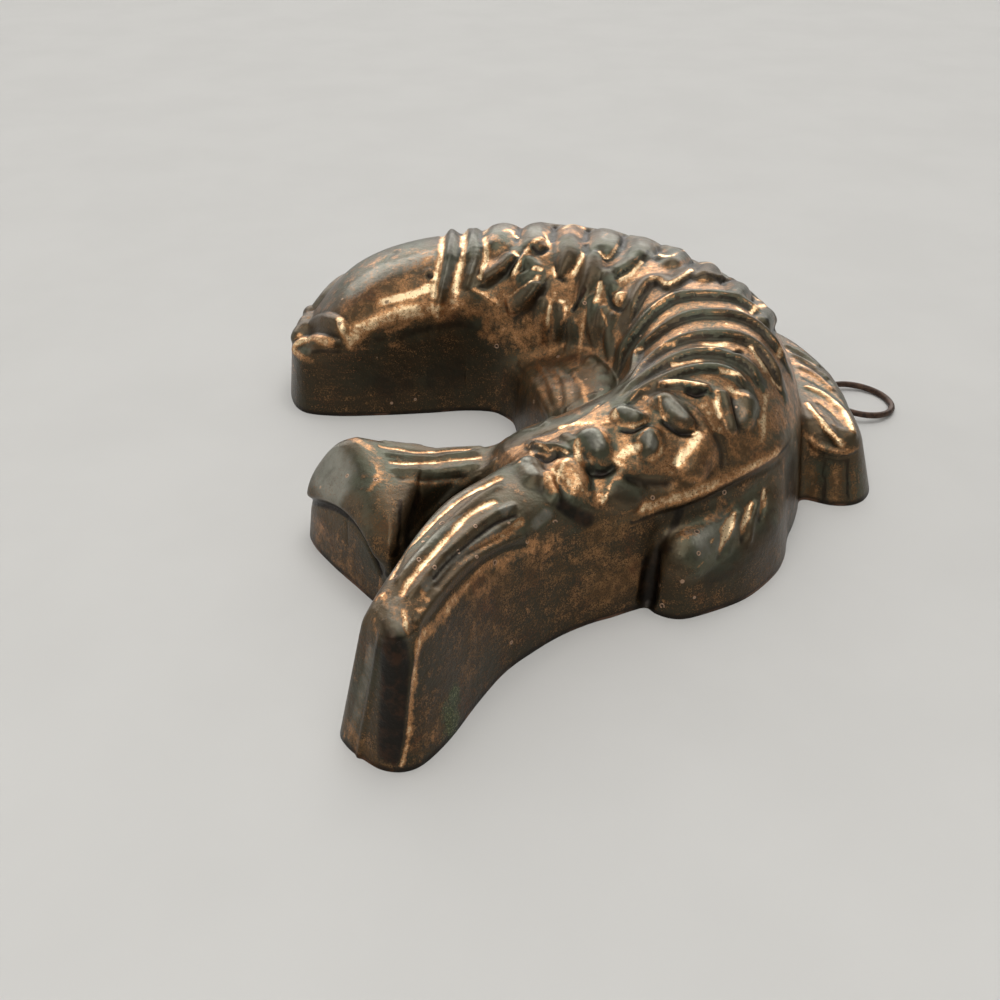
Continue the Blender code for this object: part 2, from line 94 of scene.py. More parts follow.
# --- the relief ---------------------------------------------------------------
# kind, width in pixels, height in mm, wear (-1 dark patina, its lowest values painted shade; 1 bright
# copper, its highest values painted highlight), each of them one value or a>b>c along the line, then the line over
# the camera's frame.
# r ridge, e plate with a rounded free edge, l lip with a sharp one (both rise on the
# line's left, their lower side painted near black as the shadow under the edge), g groove;
# finish only: p wear, painted shade and painted highlight, w warm speckle, s painted sheen
# (patina painted paler where light glances off it), o tarnish rings. A capital letter repeats it on the head's far
# side.
RELIEF = """
R 22>18 1.4 -0.25  297,335 304,327 317,321 332,321 342,328
G 5 -0.4 0.45  308,318 321,313 336,314 346,321 350,332
p 9 0 1.35  341,321 344,330
R 16 1.0 0.35  295,349 304,341 318,340 332,345
G 5 -0.4 -0.6  297,342 309,334 324,333 338,338
p 11 0 0.6  301,337 313,337 326,341
p 8 0 0.9  297,346 310,341 326,343
p 9 0 0.7  296,352 303,358 312,362
p 7 0 0.6  293,362 297,376 303,392
p 8 0 -0.8  312,352 326,351 340,352
p 5 0 0.35  348,350 372,347 398,346
p 66 0 -0.7  366,386 405,382 455,374
p 60 0 -0.5  312,388 345,388
p 10 0 -0.9  370,336 380,333
w 14 0 0.7  300,340 315,345 330,342
w 40 0 0.55  345,308 370,298 400,290
p 30 0 -0.45  312,300 330,280 352,264 380,250 410,243 434,240
p 16 0 0.35  385,280 405,270 428,262
w 36 0 0.9  350,330 375,318 400,314 425,312 445,310
p 20 0 0.9  350,338 368,325 396,315 420,311 441,311
p 10 0 1.3  384,302 400,297 416,293 430,287
p 6 0 0.7  346,344 366,338 392,331 410,323
p 12 0 -0.8  368,343 382,338
p 14 0 -0.8  402,337 416,331 430,328
p 14 0 -0.8  441,326 458,324 476,326
R 20 0.6 0.35  430,275
G 10 -1.2 -1  430,276
p 5 0 1  424,263 430,256
p 4 0 1  425,286 431,289
G 9 -0.3 -0.2  384,262 389,256 395,253
p 3 0 0.5  382,263 387,255 395,250
g 6 -0.3 -0.4  357,308
p 14 0 0.2  330,295 350,281 372,268 400,256
p 14 0 0.3  362,293 384,282 408,274
R 15>9 1.5>1.3>0.8 -0.75  452,231 452,243 450,256 447,270 443,286 440,300 437,313
G 8>10 -0.35 1  443,238 441,252 439,266 435,281 434,296
G 8>12 -0.35 1  463,236 465,248 462,261 458,275 455,291 454,303
R 14>9 1.4>1.0 -0.7  470,232 474,243 475,258 471,273 467,286
G 7 -0.3 1  485,240 487,254 485,266 481,278
p 14 0 0.6  462,303 452,310 440,316
r 42>34 1.9 -0.2  503,229 496,246
r 36>30 1.9 -0.3  538,229 533,246
r 34>26 1.9 0.3  572,228 568,242
r 46>36 2.0 -0.4  607,233 603,250
r 40>30 1.9 -0.4  645,240 638,256
r 36>28 1.9 -0.4  680,252 672,264
r 36>28 2.0 -0.3  713,264 704,278
r 34>26 2.0 -0.3  744,286 735,298
r 30>24 2.0 -0.3  770,314 762,324
g 7 -0.6 -0.8  521,228 517,241
g 7 -0.6 -0.8  555,229 552,241
g 7 -0.6 -0.8  589,230 586,241
g 7 -0.6 -0.8  626,235 622,248
g 7 -0.6 -0.8  662,243 657,255
g 7 -0.6 -0.8  697,255 690,267
g 7 -0.6 -0.8  729,272 722,284
g 7 -0.6 -0.8  758,298 751,307
g 7 -0.6 -0.8  779,326 772,334
p 7 0 1  505,236 511,234 517,237
p 9 0 1.1  565,233 571,231 578,232
p 6 0 0.6  580,226 584,232
e 22 2.2 -0.2  483,285 492,281 502,274 511,266 519,257
p 5 0 0.5  490,270 500,259 508,252
p 7 0 1  514,253 518,257
p 7 0 1.1  487,250 485,262 483,271
p 6 0 1.1  479,277 481,279
p 14 0 0.35  494,242 505,248
r 9 1.5 1.0  542,242 531,250 523,260 514,275
g 7 -0.6 -1  533,250 540,253 547,249
p 6 0 1  545,236 549,244 551,249
r 20 1.4 -0.4  529,262 534,268
r 18 1.3 -0.4  522,279 531,275
p 7 0 1.1  535,271 541,270
p 8 0 1.1  536,281 538,278
p 6 0 0.9  507,282
e 24 2.4 -0.6  508,314 520,310 530,303 538,294 544,284
p 4 0 1  511,297 518,291 528,286 537,281
r 30>28>10 2.0>2.3>1.2 -0.6  569,244 569,258 561,275
p 7 0 1.15  583,255 579,265 574,274
g 5 -0.6 -0.9  556,268 557,276 563,280
g 6 -0.5 -0.3  586,246 588,256
p 12 0 0.4  556,246 553,262 549,276
p 5 0 1  553,268 556,276
r 24>28>10 1.8>2.2>1.2 -0.7  594,258 591,278 580,303
p 7 0 1.1  601,284 599,294 596,302
g 6 -0.7 -1  586,292 580,301 573,310
e 18 1.5 -0.4  598,254 606,259 613,255 619,246 621,238
p 4 0 1  599,256 605,260 612,257 618,248
p 3 0 0.6  602,244 607,240
e 24 1.8 -0.6  617,277 628,271 637,264 646,255
p 6 0 1.1  620,280 632,273 642,263
r 22 2.0 1.05  621,299
g 5 -0.5 -0.7  609,292 611,304 622,311 632,304
r 20 1.3 -0.5  606,275 612,288
r 18 1.2 -0.6  603,312 600,326
p 4 0 0.8  603,311 606,319 609,326
r 7 0.7 1  474,290 485,296 494,303
p 16 0 0.5  472,312 490,318 505,322
p 12 0 0.55  482,332 494,338
p 14 0 0.5  522,317 534,326
w 30 0 0.9  470,308 490,316 505,326 510,345
w 50 0 0.8  500,330 530,350 560,362
p 34 0 0.45  492,322 520,338 545,352
p 40 0 0.45  500,300 520,320 545,325
r 15 0.8 -0.4  543,303 541,318 541,338
r 16 0.9 -0.5  558,308 558,320 556,336
r 14 0.7 -0.4  571,322 571,334 569,348
r 18 0.9 -0.4  593,302 592,325 590,362
r 18 0.7 -0.4  612,318 609,340 603,368
p 5 0 0.95  556,292 551,302 549,314 547,328
p 4 0 0.7  565,300 567,312 562,322
p 6 0 0.75  586,312 582,330 580,348 576,366
p 5 0 0.4  604,340 601,356
p 7 0 0.5  566,284 560,292
p 5 0 0.9  559,300 563,302
w 30 0 0.7  530,330 550,345 575,362 590,372
e 18 1.5 -0.4  654,257 664,262 674,262 684,255
p 4 0 1.1  656,257 664,261 673,262 682,256
e 22 1.7 -0.4  632,318 640,300 650,285 660,284 668,289 680,284 692,276 698,270
p 5 0 1.1  652,282 660,283 668,288 680,283 691,275
e 18 1.5 -0.4  697,279 712,280 726,282 738,284
p 9 0 0.9  701,268 712,270 722,271
e 22 1.8 -0.5  618,374 628,350 640,332 656,314 676,301 700,298 722,299 738,303 752,312 764,326
p 6 0 1.1  703,295 710,293 717,292
p 5 0 0.8  713,284
p 9 0 0.85  656,311 664,305 672,299
p 5 0 0.7  740,300 746,304
p 9 0 0.8  748,292 760,300
e 20 1.8 -0.5  624,384 640,357 655,340 672,327 690,319 712,317 736,319 756,329 772,346 786,368
p 7 0 0.5  706,306 720,306 734,307
p 7 0 1.1  738,308 745,314
p 8 0 1.1  751,313 761,309
p 5 0 0.9  703,313 711,311
p 6 0 0.8  698,311
p 8 0 0.95  649,337 655,329 661,322
e 20 1.8 -0.5  630,387 648,366 665,352 685,342 710,338 738,340 757,351 770,369 780,390
p 6 0 0.85  680,333 690,336 696,336
p 9 0 1.1  709,331 720,332 730,332 741,334
p 3 0 0.8  716,322 726,323 740,326
p 10 0 0.9  771,340 776,347 778,356
p 8 0 0.9  779,343 785,352 788,360
p 7 0 0.8  630,368 637,358 644,350
p 6 0 0.9  652,357 662,352 675,347
e 18 1.6 -0.5  622,400 640,384 660,370 682,359 706,355 730,359 746,368 758,384
p 9 0 1.1  706,345 716,346 726,343
p 7 0 1.0  710,353 717,350
p 4 0 0.9  692,352 703,353
g 8 -0.8 -0.9  722,352 731,355 741,352
p 8 0 1.1  750,348 757,357 763,366 770,377
p 6 0 1.0  770,377 775,384 779,389
p 6 0 0.8  746,361 752,367 758,372
e 16 1.5 -0.5  626,406 645,392 666,381 690,373 714,371 730,376 744,388
p 8 0 1.0  673,365 686,363 700,361
p 7 0 0.7  700,368
p 6 0 1.1  720,373 731,376 743,381
p 4 0 0.5  640,378 652,372
e 14 1.5 0.2  658,390 672,387 690,389 711,393
p 8 0 1.15  667,385 680,384 694,386 706,389
g 7>9>4 -0.8 -1  688,392 697,395 706,391
p 7 0 1.0  727,387 735,393 744,399
p 5 0 0.9  716,392 717,398
p 6 0 1.15  717,400 717,408 719,416
p 5 0 0.8  703,406
p 7 0 0.9  707,412 712,423 719,430
r 18>14 1.6 -0.7  722,396 726,410 731,428
r 34>26 1.9 -0.4  746,404 745,418
p 6 0 0.9  757,411
p 8 0 0.85  758,421
p 9 0 1.05  767,392 765,406 764,420 763,433 758,446
p 12 0 0.3  740,428 750,440 752,452
p 44 0 0.3  738,415 748,438
p 14 0 -0.6  722,440 728,462
p 18 0 -0.5  752,398 752,412
w 30 0 0.8  735,450 752,440 758,426
p 34 0 -0.55  512,440 540,428 562,421
p 30 0 -0.55  590,405 612,394 636,386
r 40>30 2.4 -0.8  590,440 598,451
g 18>14 -1.5 -1  593,470 603,472 613,467
p 12 0 0.4  586,463 590,470
p 9 0 0.35  588,458 592,465
p 9 0 1.1  578,445 577,454 578,461
p 5 0 0.75  596,426 606,438 612,451 618,462 624,471
p 8 0 0.9  614,460 620,466
r 34>26 2.3 -0.75  649,439 647,449
p 13 0 1.15  624,453 630,450 636,449
p 8 0 0.8  654,436 660,446 657,456 648,460
p 3 0 0.8  638,440 647,431 655,432
p 12 0 0.35  634,468 646,466
r 28>24 2.0 -0.5  622,414 637,419
g 6 -0.9 -1  622,430 636,431 647,425
p 4 0 0.8  618,424 634,427 648,422
p 8 0 1.1  614,414 617,420
p 4 0 0.9  607,421 614,430
p 4 0 0.5  620,397 640,394 650,391
p 15 0 -0.6  512,434 540,428 562,414 590,397 618,384
r 9 0.6 -0.5  520,432 545,424 568,410 594,395
g 5 -0.5 -0.8  532,437 556,430 584,414 602,403
p 7 0 1.0  645,397
p 4 0 0.7  642,415 650,411 658,419
r 42>36 1.9 0.7  567,470 578,486
p 30 0 0.6  566,474 578,488
p 6 0 1.1  559,477 562,470 568,463
p 3 0 0.9  564,480 568,487 573,495
p 3 0 0.9  570,473 576,483 581,492
p 3 0 0.7  577,468 583,478
p 4 0 0.8  582,489 588,484
p 3 0 0.8  560,484 566,493
g 5 -0.6 -0.9  590,470 592,480 589,490
r 22>14 1.7 0.7  547,478 550,490 556,499
p 14 0 0.8  547,480 551,492
p 4 0 0.9  545,482 551,484
p 4 0 1  553,472 557,485 556,498
e 15 1.6 -0.3  528,447 540,450 555,451 570,457
p 4 0 1.1  530,449 545,451 557,452 568,456
g 9 -0.9 -0.9  535,456 547,460 557,456
r 34>30 1.9 -0.7  528,466 534,480
p 6 0 0.9  520,467
p 4 0 0.9  527,446 532,454 537,462
p 8 0 1.0  560,427 575,423 592,422
p 5 0 0.6  562,432 578,435
r 18 1.2 -0.5  566,438 572,444
p 5 0 0.7  590,411 598,405
p 14>12>5 0 0.65  599,484 597,496 597,507
p 4 0 1.0  626,476 613,481 607,490 602,503
r 44>36 1.8 -0.8  616,494 630,501
g 26 -0.7 -0.95  563,505 575,513 588,520
g 16 -0.8 -0.85  630,478 648,483 668,484
p 24 0 -0.55  632,484 652,490 668,486
p 10 0 0.35  605,462 622,470 640,470
r 30>28>16 2.0 -0.6  664,402 674,411 688,424
p 14 0 0.3  680,396 694,408 703,424
g 8 -0.9 -1  664,422 678,432 694,435
r 9 0.7 0.3  664,396 685,405 700,419 710,438
p 4 0 0.9  659,402 661,412 665,420
p 5 0 0.6  650,411 657,418
p 14>10 0 1.15  695,437 688,447 681,456 676,463
r 48>40 2.1 0.1  700,452 694,468
w 40 0 0.7  700,450 696,470
p 6 0 0.5  676,484
g 9 -0.35 -0.3  716,436 722,450 722,468
w 28 0 1.0  779,449 757,462 735,474 712,485 690,494 662,502 640,508
w 28 0 1.0  662,502 640,512 618,524 600,532 585,540
p 14 0 0.78  775,452 745,468 715,482 690,492 662,500 640,508
r 5 0.3 0.1  779,451 745,470 700,489 662,499
g 6 -0.4 -0.5  779,462 745,480 700,502 664,515
w 44 0 0.55  700,470 660,500 620,530 560,570 500,620 460,680
w 110 0 0.5  470,660 540,610 610,570
p 24 0 0.42  474,573 498,560 526,549 556,543
p 24 0 -0.55  512,594 545,584 565,578
w 44 0 0.95  590,588 640,574
w 34 0 0.9  470,590 500,578 530,568 560,556 600,545
p 10 0 0.3  478,592 500,580 520,572
r 13 0.8 -0.6  494,463 472,478 452,495 434,512 416,532 401,551 388,574
g 12>6 -0.7 0.95  499,478 492,481 482,488
g 6 -0.55 1  490,481 475,490 461,498 449,508 437,518 418,538 405,552 397,567 391,578
r 9 0.7 -0.5  500,486 480,497 462,512 445,527 428,545 412,563 399,581
g 9>10>10 -0.6 1.05  494,501 480,507 466,516 455,528 443,541 432,554 419,568 408,582 402,594
r 10 0.8 -0.5  512,506 495,514 479,524 464,536 450,549 436,564 424,580 410,596
g 7 -0.7 -0.9  517,515 500,521 485,531 470,543 455,555 443,567 434,578
g 12 -0.5 0.75>0.7>0.55>0.35>0.2>0.2  521,522 508,532 498,538 485,545 473,551 460,559 450,570 438,586
r 9 0.7 -0.5  524,535 510,541 495,547 478,556 462,568 446,584 430,604 418,622
g 6 -0.4 -0.7  525,545 505,549 485,561 470,573 456,587 444,601 430,620
p 8>11>15>21>20>14>9>9 0 0.6  487,564 471,581 456,598 441,617 428,631 418,645 415,666 413,689
p 7 0 1  405,612 404,622 407,633
p 7 0 0.8  422,592 427,600
p 5 0 0.5  380,580 376,600 374,622 378,641
p 4 0 0.7  395,604 403,601
p 5 0 0.6  418,612 424,609
p 26 0 -0.7  392,615 388,628
p 4 0 -0.4  384,600 395,606
r 8 0.6 -0.5  385,438 420,441 450,445 480,444
g 5 -0.45 0.8  380,446 400,449 416,452 440,451 470,449
r 8 0.6 -0.5  388,454 420,457 450,455 476,452
g 6 -0.5 0.9  391,462 410,463 430,462 450,460 480,457
r 10 0.7 -0.55  395,470 420,471 450,470 476,466
g 7 -0.6 -0.5  398,478 430,480 465,478
w 14 0 0.9  402,479 430,483 468,482
p 9 0 0.9  349,436 359,441 370,448
p 8 0 0.6  370,448 377,462 377,477 371,491
w 30 0 0.5  380,466 386,490 386,520 386,550
p 9 0 -0.9  400,500 399,525 393,553
p 10 0 0.2  378,455 386,480
p 10 0 0.7  347,436 358,440 368,447
p 60 0 -0.5  332,462 336,486
p 26 0 -0.5  354,472 350,496
l 40>40>34 2.3 -0.3  305,495 318,497 332,500 346,507 358,517 368,530 377,546 388,570
r 6 0.5 -0.3  379,636 394,638 408,636 418,629
r 7 0.5 0.3  418,632 413,660 408,690 403,730 401,765
r 8 0.5 -0.6  379,642 371,690 362,735 358,762
p 46>38 0 -1.25  394,652 393,690 391,722 389,756
s 20 0 0.45  372,650 362,690 353,728
p 12 0 0.6  346,736 355,750 371,763 390,770
w 24 0 0.9  345,728 354,744 370,758 390,765
p 14 0 0.5  421,752 436,736
w 34 0 0.8  420,748 446,724
w 20 0 0.3  360,690 354,730
p 14>11>9>7 0 0.7  417,643 415,666 412,689 410,719 406,748 401,765
w 26 0 0.9  352,735 365,752 380,760
g 7 -0.8 -1.3  311,502 330,507 343,514 354,523 363,535 371,550 381,574
p 20 0 -0.9  418,496 410,520 404,545
p 8 0 0.45  404,481 418,483 434,482
p 64 0 0.2  322,545 345,570
w 60 0 0.6  322,540 345,570 365,585
g 3 -0.3 -0.8  346,515 347,530 348,545
p 9 0 0.35  353,538 355,548
r 66>60>40 2.4>2.0>1.0 -0.55  688,549 706,538 736,520
g 9>17>24>24 -0.3>-1.0>-1.5 -0.6>-0.9>-1  663,538 658,552 652,576 648,600
e 26 0.6>1.0>1.0 0.1  632,520 662,509 692,500 724,484 761,464 788,441
p 5 0 0.3  783,462 786,495 787,528
s 22 0 0.6  694,545 704,536
s 50 0 0.5  702,545 722,527
s 13 0 0.7  685,536
s 13 0 0.6  706,533
s 8 0 0.6  725,530 722,545
p 16 0 -0.9  680,512 672,530 668,550
g 8 -0.5 0.3  767,490 764,504 760,521
p 6>9 0 1.15  765,491 763,504
p 7>4 0 0.9  763,502 760,520
g 9 -0.5 0.3  751,503 746,516 741,528 742,541
p 6>10 0 1.15  750,507 745,519
p 5>9>6 0 1.1  747,515 742,528 742,541
p 5 0 0.9  752,503 745,509
g 10 -0.5 0.3  733,513 729,523 725,534 720,546 716,558
p 6>11 0 1.15  733,515 727,526
p 13>16 0 1.2  728,524 722,535
p 10>5 0 1.0  722,534 717,556
p 6 0 0.7  716,552 717,562
g 5 -0.4 0.5  734,503 724,514 715,523
p 4 0 1.1  710,541 707,545
p 4 0 1.0  699,562 696,566
p 4 0 0.4  766,530 745,546 722,562
p 24 0 0.36  680,540 700,525 715,515
r 9 0.7 -0.55  757,503 752,520 749,540
r 9 0.7 -0.55  740,512 732,530 728,552
r 10 0.7 -0.5  721,518 712,535 703,556
r 9 0.6 -0.5  704,520 694,540 682,558
w 24 0 0.6  690,602 715,600
p 44 0 -0.72  712,578 745,556 772,530
w 10 0 0.6  655,608 680,617
r 8 0.7 -0.2  786,346 802,354 818,366
r 8 0.7 -0.2  794,356 810,364 826,378
r 8 0.7 -0.2  800,368 816,376 832,390
p 40>50 0 0.42  800,366 822,388 838,418
g 5 -0.3 -0.8  792,352 806,360 820,372
g 5 -0.3 -0.8  800,362 814,370 830,384
g 5 -0.4 -0.9  803,378 818,386 834,397 848,410
p 4 0 0.9  788,351 800,357 814,366
p 5 0 0.9  797,363 810,369 824,381
p 4 0 0.5  784,341 796,346 810,355
r 10>12 0.8 0.5  807,388 820,393 834,403 846,416 853,434
r 9>12 0.7 0.5  807,404 817,417 829,431 842,444
p 9 0 1.0  808,388 820,393 834,403 845,415 852,432
p 9 0 0.9  808,405 818,418 830,432 842,444
p 5 0 0.7  812,398 824,405 836,417
p 12 0 0.15  822,409 834,421 844,434
g 6 -0.5 -0.7  818,404 830,413 841,426
g 5 -0.4 -0.6  822,416 832,427 840,436
e 10 0.7 0.5  806,440 815,448 828,453 842,455 856,451
p 12 0 0.35  808,444 815,451
p 8 0 -0.8  822,459 836,462 848,460
w 16 0 1.0  811,470 812,498
w 16 0 1.0  836,470 836,500
w 9 0 0.9  853,475 855,500
p 7 0 0.35  813,476 815,497
p 8 0 0.4  836,474 836,497
p 8 0 -0.9  824,470 824,500
p 6 0 -0.9  847,462 848,500
r 12 0.5 0.1  522,364 532,380 542,398 550,414
r 12 0.5 0.1  540,364 551,382 556,400
r 12 0.5 0.1  556,368 566,384 568,402
r 12 0.4 0.1  574,372 582,386 584,400
w 60 0 1.0  530,372 548,392 575,392
p 8 0 0.55  538,368 544,380 549,394
p 8 0 0.5  554,372 560,390 560,406
p 8 0 0.5  575,376 584,390 586,402
s 40 0 0.6  545,375 572,390
w 18 0 0.3  500,600 470,650
s 24 0 0.7  590,436 598,448
s 17 0 0.7  644,438 649,446
s 17 0 0.7  668,408 681,417
s 13 0 0.6  620,414 632,419
s 16 0 0.7  524,466 532,478
s 17 0 0.6  535,524 548,513
s 14 0 0.5  502,512 512,503
s 13 0 0.5  392,573 415,540 440,512 470,487
s 8 0 0.7  405,570 425,548 445,530 470,512 490,505
s 15 0 0.5  425,588 445,566 470,547 498,528
s 30 0 0.5  392,602 401,624
p 24 0 0.25  389,600 398,618
p 6 0 1.1  403,612 406,626
p 4 0 0.8  382,594 386,604
o 40 0 0.8  398,590 410,610
s 70 0 0.75  328,460 340,485
s 40>30 0 0.75  355,288 380,272 405,264 428,256
s 40 0 0.4  320,300 340,280
s 16 0 0.5  452,240 452,262 444,285
s 12 0 0.5  473,240 475,258 470,272
s 24 0 0.5  500,236 506,230
s 22 0 0.5  534,234 538,240
s 24 0 0.5  606,236 608,244
s 22 0 0.5  641,244 644,250
s 22 0 0.4  672,255 676,262
s 14 0 0.5  736,404 740,420
s 36 0 0.5  793,436 797,490
w 50 0 0.5  530,370 560,390
p 14 0 0.2  530,372 548,392
p 16 0 -0.9  645,560 644,590
o 60 0 1.0  400,590 430,550 470,520 510,505 560,500
o 44 0 0.9  590,440 640,460
o 40 0 0.7  655,590 690,600
o 60 0 0.6  540,400 600,390
o 40 0 0.5  690,440 700,480
o 40 0 0.6  460,470 500,470
"""


# --- curves, distances and the solid's field ------------------------------------
def smooth_curve(points, steps, closed):
    """Catmull-Rom curve through the points."""
    p = np.asarray(points, float)
    m = len(p)
    out = []
    for i in range(m if closed else m - 1):
        if closed:
            a, b, c, d = p[(i - 1) % m], p[i], p[(i + 1) % m], p[(i + 2) % m]
        else:
            a, b, c, d = p[max(i - 1, 0)], p[i], p[i + 1], p[min(i + 2, m - 1)]
        for j in range(steps):
            t = j / steps
            out.append(0.5 * (2 * b + (c - a) * t + (2 * a - 5 * b + 4 * c - d) * t * t
                              + (3 * b - a - 3 * c + d) * t ** 3))
    if not closed:
        out.append(p[-1])
    return np.array(out)


def inset_map(outline, X, Y):
    """Distance to a closed outline, positive inside it."""
    poly = smooth_curve(outline, 6, True)
    best = np.full(X.shape, 1e9, np.float32)
    inside = np.zeros(X.shape, bool)
    for (ax, ay), (bx, by) in zip(poly, np.roll(poly, -1, axis=0)):
        ax, ay, bx, by = (np.float32(v) for v in (ax, ay, bx, by))
        ex, ey = bx - ax, by - ay
        t = np.clip(((X - ax) * ex + (Y - ay) * ey) / (ex * ex + ey * ey), 0, 1)
        best = np.minimum(best, (X - ax - t * ex) ** 2 + (Y - ay - t * ey) ** 2)
        if ay != by:
            inside ^= ((ay > Y) != (by > Y)) & (X < ax + (Y - ay) * ex / (by - ay))
    d = np.sqrt(best)
    return np.where(inside, d, -d)


def crest_map(crest, X, Y):
    """Distance to the crest line (negative left of it), place along it, shoulder and crest heights."""
    line = smooth_curve(crest, 8, False).astype(np.float32)
    best = np.full(X.shape, 1e9, np.float32)
    along = np.zeros(X.shape, np.float32)
    left = np.zeros(X.shape, bool)
    run = np.concatenate([[0], np.cumsum(np.hypot(*np.diff(line[:, :2], axis=0).T))]).astype(np.float32)
    for i in range(len(line) - 1):
        ax, ay = line[i, :2]
        ex, ey = line[i + 1, 0] - ax, line[i + 1, 1] - ay
        t = np.clip(((X - ax) * ex + (Y - ay) * ey) / (ex * ex + ey * ey), 0, 1)
        d2 = (X - ax - t * ex) ** 2 + (Y - ay - t * ey) ** 2
        near = d2 < best
        best = np.where(near, d2, best)
        along = np.where(near, run[i] + t * (run[i + 1] - run[i]), along)
        left = np.where(near, (Y - ay) * ex - (X - ax) * ey > 0, left)
    away = np.sqrt(best)
    return (np.where(left, -away, away), along / run[-1],
            np.interp(along, run, line[:, 2]).astype(np.float32),
            np.interp(along, run, line[:, 3]).astype(np.float32))


def soft_min(a, b, k):
    h = np.maximum(k - np.abs(a - b), 0) / k
    return np.minimum(a, b) - h * h * k / 4


def soft_max(a, b, k):
    return -soft_min(-a, -b, k)


xs = np.arange(-68, 104, CELL, dtype=np.float32)
ys = np.arange(134, 334, CELL, dtype=np.float32)
zs = np.arange(-3 * CELL, 51, CELL, dtype=np.float32)
X, Y = np.meshgrid(xs, ys)


def dome(crest_maps, inset, draft, bulge, lower=(0, 0, 0)):
    """Top surface that rises from the shoulder to the crest line."""
    away, along, shoulder, peak = crest_maps
    left = np.clip(-away / 5, 0, 1)
    shoulder = shoulder - left * np.interp(along, [0, 0.5, 1], lower)
    away = np.abs(away)
    rim = np.maximum(inset - shoulder * draft, 0)
    u = away / (away + rim + 1e-6)
    power = np.interp(along, [0, 0.3, 0.55, 0.8, 1], bulge)
    return shoulder + (peak - shoulder) * np.maximum(1 - u ** 2.2, 0) ** power


trunk = inset_map(TRUNK, X, Y)
crest = crest_map(TRUNK_CREST, X, Y)
trunk_top = dome(crest, trunk, 0.12, [0.5, 0.5, 0.6, 0.75, 0.8])
trunk_top = trunk_top + 0.15 * np.clip((crest[1] - 0.22) / 0.04, 0, 1) * np.clip((0.97 - crest[1]) / 0.04, 0, 1)
near = inset_map(TAIL_NEAR, X, Y)
tail_crest = crest_map(TAIL_CREST, X, Y)
near_left = np.clip(0.5 - tail_crest[0] / 8, 0, 1)
near_draft = 0.22 + (0.13 - 0.22) * near_left
near_top = dome(tail_crest, near, near_draft, [0.5] * 5, (3, 5, 1.5))
far = inset_map(TAIL_FAR, X, Y)
far_top = np.interp(X, FAR_TOP_X, FAR_TOP_Z) - 0.012 * (Y - 217) ** 2 * np.where(X < -18, 0.25, 1.0)
end_in = 0.83 * (X + 38.6) + 0.555 * (Y - 203.7)
far_top = soft_min(far_top + 0.8 * np.clip((-22 - X) / 10, 0, 1), 18.0 + 1.2 * np.maximum(end_in - 0.9, 0), 6.0)
small = inset_map(SMALL_FIN, X, Y)
small_top = np.clip(13.5 + 0.36 * (-0.35 * (X - 46) + 0.94 * (Y - 186)), 8, 21.5)
ring_fin = inset_map(RING_FIN, X, Y)
ring_fin_top = np.clip(19.5 - 0.2 * (X - 76), 10, 20)
ring_fin_draft = np.interp(Y, [254, 270], [0.30, 0.15])
far_edge = np.interp(X, [-34, -20], [8.0, 3.0])
inner = inset_map(INNER_FIN, X, Y)
inner_top = np.clip(17.5 + 0.45 * (X - 6), 10, 26)

PARTS = [
    (trunk, 0.12, trunk_top, 1.6, 1.0),
    (near, near_draft, near_top, 1.6, 4.0),
    (far, 0.14, far_top, far_edge, 4.0),
    (small, 0.14, small_top, 6.0, 2.5),
    (ring_fin, ring_fin_draft, ring_fin_top, 3.5, 2.5),
    (inner, 0.13, inner_top, 4.0, 3.5),
]
steep = []
for inset, draft, top, edge, blend in PARTS:
    gy, gx = np.gradient(top, CELL)
    steep.append((1 / np.sqrt(1 + np.minimum(gx * gx + gy * gy, 4))).astype(np.float32))
layers = []
for z in zs:
    level = None
    for (inset, draft, top, edge, blend), lean in zip(PARTS, steep):
        piece = soft_min(inset - z * draft, (top - z) * lean, edge)
        level = piece if level is None else soft_max(level, piece, blend)
    layers.append(level.astype(np.float32))
FIELD = np.array(layers)
ORIGIN = np.array([xs[0], ys[0], zs[0]])


def sample(P):
    """The field at points, by linear interpolation."""
    q = (P - ORIGIN) / CELL
    nz, ny, nx = FIELD.shape
    top = np.array([nx - 2, ny - 2, nz - 2])
    i = np.clip(np.floor(q).astype(int), 0, top)
    f = np.clip(q - i, 0, 1)
    out = np.zeros(P.shape[:-1])
    for a in (0, 1):
        for b in (0, 1):
            for c in (0, 1):
                w = (f[..., 0] if a else 1 - f[..., 0]) * (f[..., 1] if b else 1 - f[..., 1]) \
                    * (f[..., 2] if c else 1 - f[..., 2])
                out += w * FIELD[i[..., 2] + c, i[..., 1] + b, i[..., 0] + a]
    return out


def slope(P, e=0.45):
    g = np.zeros(P.shape)
    for k in range(3):
        d = np.zeros(3)
        d[k] = e
        g[..., k] = (sample(P + d) - sample(P - d)) / (2 * e)
    return g


def settle(P, rounds=4):
    """Moves points onto the surface."""
    for _ in range(rounds):
        g = slope(P)
        P = P - g * (sample(P) / np.maximum((g * g).sum(-1), 0.05))[..., None]
    return P


